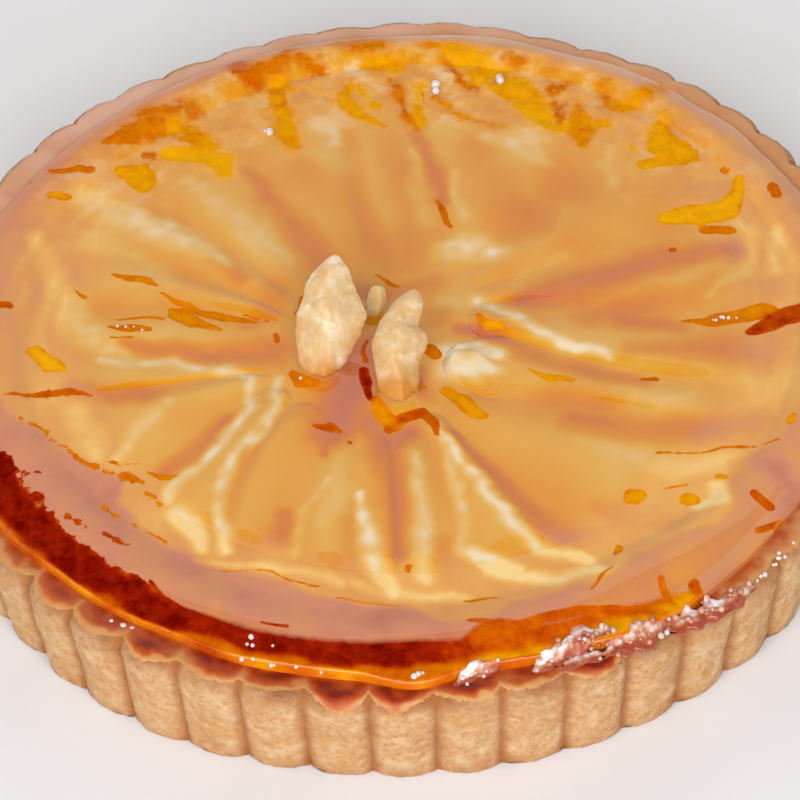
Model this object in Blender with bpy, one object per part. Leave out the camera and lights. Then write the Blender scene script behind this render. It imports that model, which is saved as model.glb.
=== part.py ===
"""Pear tart, 26 cm: a fluted shortcrust shell baked full of almond filling, whose risen border
stands a little above the pastry, a fan of pear slices laid in it and three small pear pieces
standing in the middle of the fan.

Metres, +Z up. The origin is the middle of the flat underside.
"""

import math
from collections import namedtuple

import bmesh
import bpy
from mathutils import Vector, noise

MM = 0.001
TAU = 2 * math.pi
GAP = 0.3 * MM                      # clearance between pieces that touch

# pastry shell
RIM_RADIUS = 130.0 * MM             # over the crests of the flutes, at the top
FLARE = 3.2 * MM                    # the wall leans out by this much from base to top
RIM_HEIGHT = 32.0 * MM
RIM_TILT = 1.2 * MM                 # the rim stands this much higher at +Y and lower at -Y
RIM_ROLL = 4.6 * MM                 # how far the baked rim rounds inwards
FLUTES = 50
FLUTE_DEPTH = 2.3 * MM
FLUTE_PHASE = math.radians(-138.4)  # bearing of the first groove
FLUTE_STEPS = (0.0, 0.07, 0.2, 0.36, 0.5, 0.64, 0.8, 0.93)
FLOOR = 4.0 * MM                    # thickness of the pastry floor
CUP_RADIUS = 121.0 * MM             # inner face of the wall, at the top
CUP_SIDES = 100

# almond filling
FILL_LIP = 31.4 * MM                # height where the filling meets the rim
BED = 31.2 * MM                     # level that the pears lie on
CREST = 4.6 * MM                    # the border's rise above the bed
BED_RADIUS = 99.0 * MM              # the round of pears, set off the tart's centre
BED_CENTRE = Vector((5.0, 5.0)) * MM
FILL_SIDES = 120
BORDER_STEPS = (0.06, 0.18, 0.32, 0.46, 0.6, 0.74, 0.87)

# fan of pear slices, anticlockwise
FAN_CENTRE = Vector((-3.0, -12.0)) * MM
SLICE_EDGE = 1.3 * MM               # thickness of a slice along its sides
SLICE_STEPS = 9
SLICE_COLUMNS = 5
END_CLEARANCE = 1.6 * MM            # between a slice's outer end and the border
Slice = namedtuple("Slice", "inner outer curl ridge height start lift")
# inner, outer: bearing of the joint on the clockwise side, at its two ends, in degrees
# curl: how early along the slice the joint swings from the one to the other
# ridge: where the crest runs, from 0, the clockwise side, to 1, the other side
# height, lift: of the crest, and how much more at the inner end, in mm
# start: from the fan's centre to the inner end, in mm
FAN = (
    Slice(8, -12, 4.5, 0.25, 5.2, 26, 2.5),
    Slice(33, 6, 3.0, 0.40, 3.6, 31, 0.5),
    Slice(45, 27, 3.0, 0.50, 3.4, 33, 0.0),
    Slice(54, 48, 1.2, 0.60, 3.4, 33, 0.0),
    Slice(65, 87, 1.4, 0.75, 4.2, 29, 0.0),
    Slice(94, 96, 1.0, 0.30, 3.8, 29, 0.0),
    Slice(116, 113, 1.0, 0.70, 3.5, 30, 0.0),
    Slice(135, 133, 1.0, 0.45, 4.1, 30, 0.0),
    Slice(146, 149, 1.0, 0.45, 4.2, 31, 0.0),
    Slice(155, 166, 1.0, 0.60, 3.3, 31, 0.0),
    Slice(178, 176, 1.0, 0.80, 3.5, 31, 0.0),
    Slice(188, 188, 1.0, 0.35, 3.6, 31, 0.0),
    Slice(198, 217, 1.2, 0.78, 5.0, 31, 0.8),
    Slice(213, 236, 1.2, 0.25, 4.4, 29, 0.5),
    Slice(240, 250, 1.0, 0.60, 3.6, 31, 0.0),
    Slice(255, 264, 1.0, 0.70, 4.5, 32, 0.0),
    Slice(271, 271, 1.0, 0.40, 4.7, 30, 0.0),
    Slice(287, 279, 1.0, 0.65, 4.8, 27, 0.8),
    Slice(299, 304, 1.0, 0.45, 3.8, 26, 0.5),
    Slice(324, 337, 4.0, 0.45, 3.8, 18, 4.2),
)

# small pear pieces in the middle: foot and tip as x, y, z, then width and thickness
WEDGE_SIDES = 10
WEDGE_RINGS = 9
CENTRE_PIECES = {
    "pear_wedge_left": ((-17.5, -20.5, 31.9), (-14.5, 4.5, 54), 18, 8),
    "pear_wedge_right": ((-1.5, -31, 31.9), (4, -5.5, 50), 14.5, 8.5),
    "pear_nub": ((-6, 2, 32), (-4.5, 9, 38), 7, 6),
}


def clear_scene():
    for thing in list(bpy.data.objects):
        bpy.data.objects.remove(thing)


def collection(name):
    group = bpy.data.collections.new(name)
    bpy.context.scene.collection.children.link(group)
    return group


def food_material(name, colour, roughness):
    material = bpy.data.materials.new(name)
    material.use_nodes = True
    shader = material.node_tree.nodes["Principled BSDF"]
    shader.inputs["Base Color"].default_value = (*colour, 1.0)
    shader.inputs["Roughness"].default_value = roughness
    shader.inputs["Metallic"].default_value = 0.0
    material.diffuse_color = (*colour, 1.0)
    return material


def finish(name, bm, material, group):
    """Makes one smooth-shaded object of a closed mesh."""
    bmesh.ops.recalc_face_normals(bm, faces=bm.faces)
    mesh = bpy.data.meshes.new(name)
    bm.to_mesh(mesh)
    bm.free()
    mesh.shade_smooth()
    mesh.set_sharp_from_angle(angle=math.radians(50))
    mesh.materials.append(material)
    thing = bpy.data.objects.new(name, mesh)
    group.objects.link(thing)
    return thing


def loft(rings):
    """A closed body through rings of points, all of the same count, with flat ends."""
    bm = bmesh.new()
    loops = [[bm.verts.new(point) for point in ring] for ring in rings]
    for lower, upper in zip(loops, loops[1:]):
        for i in range(len(lower)):
            j = (i + 1) % len(lower)
            bm.faces.new((lower[i], lower[j], upper[j], upper[i]))
    bm.faces.new(reversed(loops[0]))
    bm.faces.new(loops[-1])
    return bm


def polar(radius, bearing):
    return Vector((radius * math.cos(bearing), radius * math.sin(bearing)))


def tilt(bearing):
    return RIM_TILT * math.sin(bearing)


def wander(bearing, cycles, seed):
    """A smooth random wave round the tart, from -1 to 1."""
    x, y = polar(cycles / TAU, bearing)
    return 2 * noise.noise((x, y, seed * 7.31))


# pastry shell

def flute_columns():
    """The bearing and the bulge of each column, 0 in a groove and 1 on a crest."""
    pitch = TAU / FLUTES
    for flute in range(FLUTES):
        drift = 0.06 * wander(flute * pitch, 23, 1)
        for step in FLUTE_STEPS:
            bearing = FLUTE_PHASE + pitch * (flute + step + drift * math.sin(math.pi * step))
            yield bearing, math.sin(math.pi * step) ** 0.62


def wall_ring(height, inset, depth_share, columns):
    """One ring of the fluted wall. inset draws it in from the flared face."""
    ring = []
    for bearing, bulge in columns:
        face = RIM_RADIUS - FLARE * (1 - height / RIM_HEIGHT) - inset
        depth = FLUTE_DEPTH * (1 + 0.22 * wander(bearing, 31, 2)) * depth_share
        face += 0.5 * MM * wander(bearing, 17, 3) - depth * (1 - bulge)
        rise = (0.7 * MM * wander(bearing, 19, 4) + tilt(bearing)) * (height / RIM_HEIGHT) ** 2
        ring.append((*polar(face, bearing), height + rise))
    return ring


def pastry_shell(material, group, cutters):
    columns = list(flute_columns())
    levels = (
        (0.0, 1.4 * MM, 0.75),
        (1.3 * MM, 0.2 * MM, 0.95),
        (15.0 * MM, 0.0, 1.0),
        (28.3 * MM, 0.3 * MM, 1.0),
        (31.0 * MM, 1.6 * MM, 0.85),
        (RIM_HEIGHT, RIM_ROLL, 0.35),
    )
    body = loft([wall_ring(*level, columns) for level in levels])
    shell = finish("pastry_shell", body, material, group)

    height = RIM_HEIGHT + 6 * MM - FLOOR
    slope = 2.4 * MM / (RIM_HEIGHT - FLOOR)
    bpy.ops.mesh.primitive_cone_add(
        vertices=CUP_SIDES,
        radius1=CUP_RADIUS - 2.4 * MM,
        radius2=CUP_RADIUS - 2.4 * MM + slope * height,
        depth=height,
        location=(0, 0, FLOOR + height / 2),
    )
    cutter = bpy.context.object
    cutter.name = "hollow_cutter"
    cutter.hide_render = True
    cutter.display_type = "WIRE"
    for owner in list(cutter.users_collection):
        owner.objects.unlink(cutter)
    cutters.objects.link(cutter)

    cut = shell.modifiers.new("hollow", "BOOLEAN")
    cut.operation = "DIFFERENCE"
    cut.solver = "EXACT"
    cut.object = cutter


# almond filling

def bed_edge(bearing):
    """Distance from the tart's centre to the edge of the round of pears."""
    toward = polar(1, bearing)
    along = toward.dot(BED_CENTRE)
    across = BED_CENTRE.length_squared - along ** 2
    return along + math.sqrt(BED_RADIUS ** 2 - across) + 1.1 * MM * wander(bearing, 12, 5)


def border_point(bearing, share):
    """A point on the risen border; share 0 is at the pears and 1 at the pastry."""
    inner = bed_edge(bearing)
    outer = CUP_RADIUS - GAP
    crest = CREST * (1 + 0.22 * wander(bearing, 14, 6))
    rise = math.sin(math.pi * share ** 0.8) ** 0.75 if 0 < share < 1 else 0.0
    base = BED + (FILL_LIP + tilt(bearing) - BED) * share
    lump = 0.45 * MM * wander(bearing, 40, 7 + share) * rise
    return (*polar(inner + (outer - inner) * share, bearing), base + crest * rise + lump)


def filling(material, group):
    bearings = [TAU * i / FILL_SIDES for i in range(FILL_SIDES)]
    foot = CUP_RADIUS - 2.4 * MM - GAP
    rings = [
        [(*polar(foot, bearing), FLOOR + GAP) for bearing in bearings],
        [border_point(bearing, 1) for bearing in bearings],
    ]
    for share in reversed(BORDER_STEPS):
        rings.append([border_point(bearing, share) for bearing in bearings])
    rings.append([border_point(bearing, 0) for bearing in bearings])
    finish("filling", loft(rings), material, group)


# pears

def fan_reach(bearing):
    """Distance from the fan's centre to the edge of the round of pears, along a bearing."""
    toward = polar(1, bearing)
    offset = BED_CENTRE - FAN_CENTRE
    along = toward.dot(offset)
    return along + math.sqrt(BED_RADIUS ** 2 - offset.length_squared + along ** 2)


def joint_bearing(number, along):
    """Bearing of the joint on the clockwise side of a slice, along 0..1 outwards."""
    cut = FAN[number % len(FAN)]
    turns = 360 * (number // len(FAN))
    return math.radians(cut.outer + (cut.inner - cut.outer) * (1 - along) ** cut.curl + turns)


def side_point(number, start, along, loss):
    """A point on a joint; start is where the slice begins and loss what its end falls short."""
    bearing = joint_bearing(number, along)
    reach = fan_reach(bearing) - END_CLEARANCE - loss
    return FAN_CENTRE + polar(start + (reach - start) * along, bearing)


def slice_point(number, along, across):
    """A point of a slice's top, along 0..1 outwards and across 0..1 anticlockwise."""
    cut = FAN[number]
    blunt = abs(2 * across - 1) ** 3
    start = cut.start * MM + 3.0 * MM * blunt
    loss = 3.2 * MM * blunt + 0.8 * MM * (1 + noise.noise((number * 2.3, 5.4, 0)))
    side_a = side_point(number, start, along, loss)
    side_b = side_point(number + 1, start, along, loss)
    margin = 0.35 * MM / max((side_b - side_a).length, 2 * MM)
    place = side_a.lerp(side_b, margin + (1 - 2 * margin) * across)

    if across < cut.ridge:
        hump = math.sin(0.5 * math.pi * across / cut.ridge)
    else:
        hump = math.sin(0.5 * math.pi * (1 - across) / (1 - cut.ridge))
    body = 0.62 + 0.38 * math.sin(math.pi * min(1.0, 0.12 + 0.9 * along))
    ends = min(1.0, (1 - along) / 0.07 + 0.25, along / 0.05 + 0.4)
    swell = 1 + 0.15 * noise.noise((number * 4.7, along * 2.5, 3.3))
    crest = (cut.height + cut.lift * math.exp(-(along / 0.16) ** 2)) * MM
    rise = (crest - SLICE_EDGE) * hump ** 0.8 * body * swell
    return (*place, BED + GAP + (SLICE_EDGE + rise) * ends)


def pear_slice(number, material, group):
    bm = bmesh.new()
    bmesh.ops.create_grid(bm, x_segments=SLICE_STEPS, y_segments=SLICE_COLUMNS, size=0.5)
    for vert in bm.verts:
        vert.co = slice_point(number, vert.co.x + 0.5, vert.co.y + 0.5)
    rim = [edge for edge in bm.edges if edge.is_boundary]
    skirt = bmesh.ops.extrude_edge_only(bm, edges=rim)["geom"]
    for vert in skirt:
        if isinstance(vert, bmesh.types.BMVert):
            vert.co.z = BED + GAP
    bmesh.ops.holes_fill(bm, edges=[edge for edge in bm.edges if edge.is_boundary])
    finish(f"pear_slice_{number + 1:02d}", bm, material, group)


def centre_piece(name, foot, tip, width, thickness, material, group):
    """A cut of pear from a broad rounded foot to a blunt tip, as rings round its axis."""
    foot = Vector(foot) * MM
    tip = Vector(tip) * MM
    axis = (tip - foot).normalized()
    side = axis.cross(Vector((0, -1, 0.4))).normalized()
    front = side.cross(axis)
    rings = []
    for k in range(WEDGE_RINGS):
        share = k / (WEDGE_RINGS - 1)
        span = math.sin(math.pi * (0.13 + 0.81 * share ** 0.9)) ** 0.75
        ring = []
        for i in range(WEDGE_SIDES):
            turn = TAU * i / WEDGE_SIDES
            out = side * math.cos(turn) * width / 2 + front * math.sin(turn) * thickness / 2
            rough = 1 + 0.12 * noise.noise((3 * math.cos(turn), 3 * math.sin(turn), 4 * share + width))
            point = foot + (tip - foot) * share + out * MM * span * rough
            point.z = max(point.z, BED + GAP)
            ring.append(point)
        rings.append(ring)
    finish(name, loft(rings), material, group)


def main():
    clear_scene()
    parts = collection("pear_tart")
    cutters = collection("cutters")
    shortcrust = food_material("baked_shortcrust", (0.66, 0.38, 0.16), 0.75)
    almond = food_material("browned_almond_filling", (0.55, 0.19, 0.03), 0.25)
    pear = food_material("glazed_pear", (0.75, 0.42, 0.12), 0.2)
    pale_pear = food_material("bare_pear", (0.83, 0.6, 0.3), 0.4)

    pastry_shell(shortcrust, parts, cutters)
    filling(almond, parts)
    for number in range(len(FAN)):
        pear_slice(number, pear, parts)
    for name, (foot, tip, width, thickness) in CENTRE_PIECES.items():
        centre_piece(name, foot, tip, width, thickness, pale_pear, parts)


main()
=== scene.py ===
"""Looks of the pear tart: biscuit shell, browned almond border, fanned pears under a set glaze."""

import math
import random

import bpy
from mathutils import Matrix, Vector, noise


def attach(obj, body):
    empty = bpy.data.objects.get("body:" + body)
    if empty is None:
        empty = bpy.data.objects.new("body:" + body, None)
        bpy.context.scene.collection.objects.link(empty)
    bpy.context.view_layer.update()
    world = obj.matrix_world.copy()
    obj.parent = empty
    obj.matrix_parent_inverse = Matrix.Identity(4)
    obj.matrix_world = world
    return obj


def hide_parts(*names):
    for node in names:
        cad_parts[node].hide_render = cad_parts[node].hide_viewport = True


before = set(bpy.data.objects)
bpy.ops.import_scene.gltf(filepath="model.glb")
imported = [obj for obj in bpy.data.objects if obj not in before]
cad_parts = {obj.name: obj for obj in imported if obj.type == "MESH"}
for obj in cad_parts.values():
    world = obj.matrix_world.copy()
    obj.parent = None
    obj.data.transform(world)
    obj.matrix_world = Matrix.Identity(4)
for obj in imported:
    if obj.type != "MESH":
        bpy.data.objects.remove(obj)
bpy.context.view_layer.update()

MM = 0.001
TAU = 2 * math.pi

# the tart's own sizes, as its solids have them
RIM_RADIUS = 130.0 * MM
FLARE = 3.2 * MM
RIM_HEIGHT = 32.0 * MM
RIM_TILT = 1.2 * MM
FLUTES = 50
FLUTE_DEPTH = 2.3 * MM
FLUTE_PHASE = math.radians(-138.4)
CUP_RADIUS = 121.0 * MM
FILL_LIP = 31.4 * MM
BED = 31.2 * MM
CREST = 4.6 * MM
BED_RADIUS = 99.0 * MM
BED_CENTRE = Vector((5.0, 5.0)) * MM
FAN_CENTRE = Vector((-3.0, -12.0)) * MM
FAR_SIDE = (88, 95)                 # the far side's middle bearing and half-width, in degrees

# inner, outer and curl of each slice's joint, its ridge, height, start and lift
FAN = (
    (8, -12, 4.5, 0.25, 5.2, 26, 2.5),
    (33, 6, 3.0, 0.40, 3.6, 31, 0.5),
    (45, 27, 3.0, 0.50, 3.4, 33, 0.0),
    (54, 48, 1.2, 0.60, 3.4, 33, 0.0),
    (65, 87, 1.4, 0.75, 4.2, 29, 0.0),
    (94, 96, 1.0, 0.30, 3.8, 29, 0.0),
    (116, 113, 1.0, 0.70, 3.5, 30, 0.0),
    (135, 133, 1.0, 0.45, 4.1, 30, 0.0),
    (146, 149, 1.0, 0.45, 4.2, 31, 0.0),
    (155, 166, 1.0, 0.60, 3.3, 31, 0.0),
    (178, 176, 1.0, 0.80, 3.5, 31, 0.0),
    (188, 188, 1.0, 0.35, 3.6, 31, 0.0),
    (198, 217, 1.2, 0.78, 5.0, 31, 0.8),
    (213, 236, 1.2, 0.25, 4.4, 29, 0.5),
    (240, 250, 1.0, 0.60, 3.6, 31, 0.0),
    (255, 264, 1.0, 0.70, 4.5, 32, 0.0),
    (271, 271, 1.0, 0.40, 4.7, 30, 0.0),
    (287, 279, 1.0, 0.65, 4.8, 27, 0.8),
    (299, 304, 1.0, 0.45, 3.8, 26, 0.5),
    (324, 337, 4.0, 0.45, 3.8, 18, 4.2),
)


# Streaks lie on the top. Each starts with its tone or its strength, then gives points along it,
# in millimetres: x right, y away, half-width.
# Glaze pools, where the set glaze dips clear and dark: tone from 0 yellow to 1 dark red.
POOLS = (
    (0.35, (-63, 14.5, .4), (-58, 10.5, .8), (-52, 6.5, 1.2), (-47, 4.5, 1.4), (-41, 2.5, 1.1),
     (-38, 2, .4)),
    (0.30, (-60, 8.5, .8), (-58, 6.5, 2.4), (-54, 2.5, 2.6), (-48, -0.5, 1.0)),
    (0.35, (-62, 4.5, .8), (-70, 5.5, .5), (-76, 5.5, .2)),
    (0.45, (-41, 4.5, .2), (-36, 2.5, .4), (-31, 2.5, .2)),
    (0.40, (-76, 2.5, .6), (-71, 1.5, 1.8), (-66, 0.5, 1.0)),
    (0.50, (-76, -1.5, .3), (-70, -2.5, .4)),
    (0.35, (-76, 22.5, .4), (-71, 20.5, 1.4), (-66, 18.5, 1.2), (-64, 17.5, .4)),
    (0.35, (-86, 17.5, .4), (-83, 14.5, .9)),
    (0.62, (-102, -23.2, .6), (-93, -21.2, 1.0), (-86, -20.5, 1.1), (-81, -22.5, .4)),
    (0.10, (-96, -5.2, 2.2), (-92, -10.2, 2.8), (-88, -12.5, .8)),
    (0.55, (-32, -3, .8), (-32, -6, .8)),
    (0.90, (-10, -17.6, 1.0), (-9, -22.6, 1.6), (-8.5, -28.6, 1.1)),
    (0.60, (-8.5, -6.6, .5), (-9, -14.6, .8)),
    (0.45, (-28, -17.6, 1.0), (-26, -21.6, 2.0), (-22, -23.1, 1.2)),
    (0.40, (-26.5, 4.5, .6), (-25.5, 10.5, .8)),
    (0.35, (-7, -29.6, 1.4), (-5, -35.6, 2.2), (-2, -38.6, 2.0)),
    (0.60, (-4, -39.6, 1.2), (0, -36.6, 1.8), (5, -34.6, 1.4), (8, -38.6, 1.8), (9, -43.5, .6)),
    (0.45, (8, -11.6, 2.0), (9, -13.1, 1.8)),
    (0.22, (12, -27.6, 1.8), (16, -32.6, 2.6), (20, -37.5, 1.4)),
    (0.62, (-23, -37.5, .7), (-19, -38.1, 1.5), (-16, -39.6, .7)),
    (0.55, (-14, -44.5, .7), (-13.5, -45, .5)),
    (0.35, (-6, 18.5, .4), (-2, 14.5, .9), (1, 12.9, .4)),
    (0.22, (21, -0.6, 1.0), (24, -4.5, 1.5), (27, -5.5, .7)),
    (0.15, (33, -21.5, .4), (38, -25.5, 1.3), (44, -26.5, .5)),
    (0.50, (62, -26.5, .6), (66, -27, .8)),
    (0.22, (55, -67.8, 2.2), (57, -68.2, 2.2)),
    (0.22, (64, -66, .4), (70, -64.5, .6)),
    (0.15, (70, -69.5, 1.9), (70.5, -69.5, 1.9)),
    (0.20, (78, -62, .9), (79.5, -62.7, .6)),
    (0.35, (50, -86.7, .7), (51.5, -84.7, 1.1)),
    (0.38, (75, -5.5, .5), (82, -6.5, 2.0), (90, -5, 2.4), (97, -3, 2.8)),
    (0.72, (92, -11, 1.2), (98, -7, 3.0), (110, -3.2, 3.6)),
    (0.55, (12, 46.5, .9), (14, 41.5, 1.5), (15.5, 35.5, .6)),
    (0.42, (2, 99, 1.6), (3, 91, 2.0), (5, 83, 2.0), (8, 77, 1.0)),
    (0.55, (-46, 110, 2.0), (-42, 105, 3.6), (-38, 101, 3.6)),
    (0.45, (-38, 104, 2.6), (-32, 104, 3.0), (-28, 111, 2.4)),
    (0.20, (-31, 99, 3.4), (-31, 89, 3.6), (-29, 80, 4.2), (-27, 72, 2.6)),
    (0.42, (-31, 87, 1.6), (-30, 84, 1.6)),
    (0.38, (-25, 109, 1.8), (-20, 105, 3.0)),
    (0.42, (-78, 76, 2.2), (-72, 80, 4.4), (-65, 83, 4.6)),
    (0.22, (-62, 83, 4.0), (-56, 80, 4.4), (-51, 75, 3.4)),
    (0.08, (-62, 72, 3.4), (-54, 71, 4.6), (-48, 68, 4.2), (-46, 62, 2.6)),
    (0.12, (-75, 66, 2.6), (-70, 64, 4.4), (-68, 58, 2.4)),
    (0.45, (-69, 72, 1.2), (-67, 71, 1.4)),
    (0.50, (-60, 93.4, .7), (-57, 92.8, 1.0), (-54, 88.8, 1.0), (-56, 86.8, .8), (-59, 91, .7)),
    (0.45, (-95, 66, 1.0), (-91, 64.4, 1.5), (-86, 64.2, 1.9), (-83, 65.5, 1.0)),
    (0.45, (-102, 64.5, 1.3), (-100.5, 62.5, 1.2)),
    (0.20, (-93, 54, 1.4), (-90, 53.6, 1.6)),
    (0.18, (-11, 99, 1.6), (-12, 90, 3.0), (-8, 84, 3.0), (-1, 79, 1.4)),
    (0.15, (9, 88, 2.6), (8, 80, 2.4)),
    (0.42, (-69, 88, 2.6), (-60, 89, 2.2)),
    (0.10, (-8, 97, 1.4), (-3, 88, 2.2)),
    (0.36, (-12, 114, 2.6), (-3, 113.5, 4.0)),
    (0.12, (-5, 107, 2.6), (2, 106.5, 3.6)),
    (0.30, (12, 112, 1.8), (16, 111, 1.8)),
    (0.30, (14, 91, 1.4), (18, 84, 1.7), (25, 79.5, 1.5), (32, 76, .9)),
    (0.05, (10, 96, 2.2), (9, 90, 1.6)),
    (0.08, (19, 110, 3.0), (25, 103, 4.4), (31, 98, 5.0), (38, 92, 6.0), (42, 84, 5.2), (44, 77, 2.6)),
    (0.48, (17, 110, 1.0), (19.5, 103, 1.4), (21, 98, 1.3), (26, 94, .9)),
    (0.40, (35, 105.5, 1.6), (38.5, 103.5, 2.0)),
    (0.40, (47, 92, 2.4), (50, 92.5, 2.0)),
    (0.50, (48, 86, 1.8), (48, 76, 2.0)),
    (0.26, (54, 83, 2.4), (54, 75, 5.0), (54, 69, 3.0)),
    (0.10, (46, 75, 2.6), (60, 76, 2.6)),
    (0.42, (61, 92, 1.3), (62, 85, 1.7)),
    (0.24, (64, 83.5, 2.6), (68, 82.5, 2.4), (73, 86, 3.0), (77, 88.5, 3.8)),
    (0.12, (76, 74, 2.8), (76, 66, 4.8), (83, 60.5, 3.2), (70, 57.5, 2.4)),
    (0.12, (67.5, 66, 1.2), (68, 64, 1.2)),
    (0.10, (75, 35, 2.8), (82, 35.5, 4.4), (91, 37, 3.6), (94.5, 44, 2.0), (95.5, 48.5, 1.4)),
    (0.40, (84, 29.5, 1.8), (90, 29, 2.0)),
    (0.55, (104, 42.8, 1.4), (105, 39.8, 1.4)),
    (0.35, (92, 53.5, 1.0), (93, 52.8, .8)),
    (0.50, (74, 22, 1.1), (75, 22, .9)),
    (0.65, (86, -69.2, 1.1), (89, -73.2, 1.3)),
    (0.60, (86, -80.7, 1.0), (91, -79.2, 1.0), (96, -77.2, .8)),
    (0.55, (60, -96.2, .7), (63, -103.2, 1.3)),
    (0.55, (68, -97.2, 1.7), (70, -102.2, .9)),
    (0.60, (13, -107.2, .6), (25, -109.2, 1.5), (40, -105.2, 1.5), (55, -105.2, 2.0), (62, -107.2, 1.4)),
    (0.38, (-98, -30.5, .3), (-92, -34.5, .4), (-87, -40.5, .4), (-83, -45, .8), (-78, -48.5, .6),
     (-75, -50.5, .4)),
    (0.38, (-75, -47, .2), (-70, -47.8, .3), (-65, -49, .2)),
    (0.42, (-71, -51.5, 1.5), (-68, -53.5, .8), (-65.5, -55, .4)),
    (0.38, (-66, -51, .2), (-62, -53.5, .9), (-60.5, -53.8, 1.0), (-57, -53, .2)),
    (0.36, (-65, -58.5, .6), (-62, -62.5, .6)),
    (0.36, (-75, -62.5, .6), (-73, -64.5, .6), (-68, -68.5, .3), (-60, -75, .3)),
    (0.36, (-50, -85, .2), (-43, -86.5, .3), (-34, -86.5, .3), (-29, -90, .3), (-22, -92, .2)),
    (0.36, (-18, -96.5, .2), (-8, -99, .3), (0, -100, .2)),
    (0.36, (12, -99.5, .3), (16, -99.5, .6), (21, -99, .3)),
    (0.40, (43, -99, .3), (46, -95.5, .5), (49, -92, .3)),
    (0.40, (64, -53.5, .5), (74, -53, .3), (85, -52.5, .5), (94, -51.5, .2)),
    (0.20, (98, -45.5, 1.2), (99, -44, 1.2)),
    (0.62, (-106, 10, 1.4), (-104, 10, 1.2)),
    (0.40, (-0.5, -87.5, .9), (-0.5, -89, .7)),
    (0.85, (-106, -52.5, 1.8), (-99, -50.5, 1.1), (-92, -50.5, .5)),
    (0.88, (-104, -58, 3.4), (-97, -58.5, 2.2), (-91.5, -60, .9)),
    (0.85, (-96, -67.5, 2.8), (-89, -70, 1.3)),
    (0.85, (-93, -74.5, 3.2), (-86.5, -74.5, 1.9), (-83, -77.5, 1.0)),
    (0.85, (-85, -81.5, 3.2), (-78.5, -80.5, 1.7), (-73.5, -83.5, .8)),
    (0.85, (-78, -87.5, 2.8), (-73, -86.5, 1.2)),
    (0.85, (-71, -93.5, 2.2), (-66.5, -92.5, 1.0)),
    (0.80, (-94, -65.2, .8), (-88, -68.2, .9)),
    (0.75, (-85, -67.2, .7), (-80, -70.2, .7)),
    (0.75, (-86, -73.2, .9), (-83, -73.7, .7)),
    (0.75, (-76, -73.2, .6), (-70, -77.2, .7)),
    (0.85, (-63, -90.2, .5), (-61, -97.2, 1.6)),
    (0.75, (-36, -104.2, .4), (-30, -105.2, .5)),
)
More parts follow.
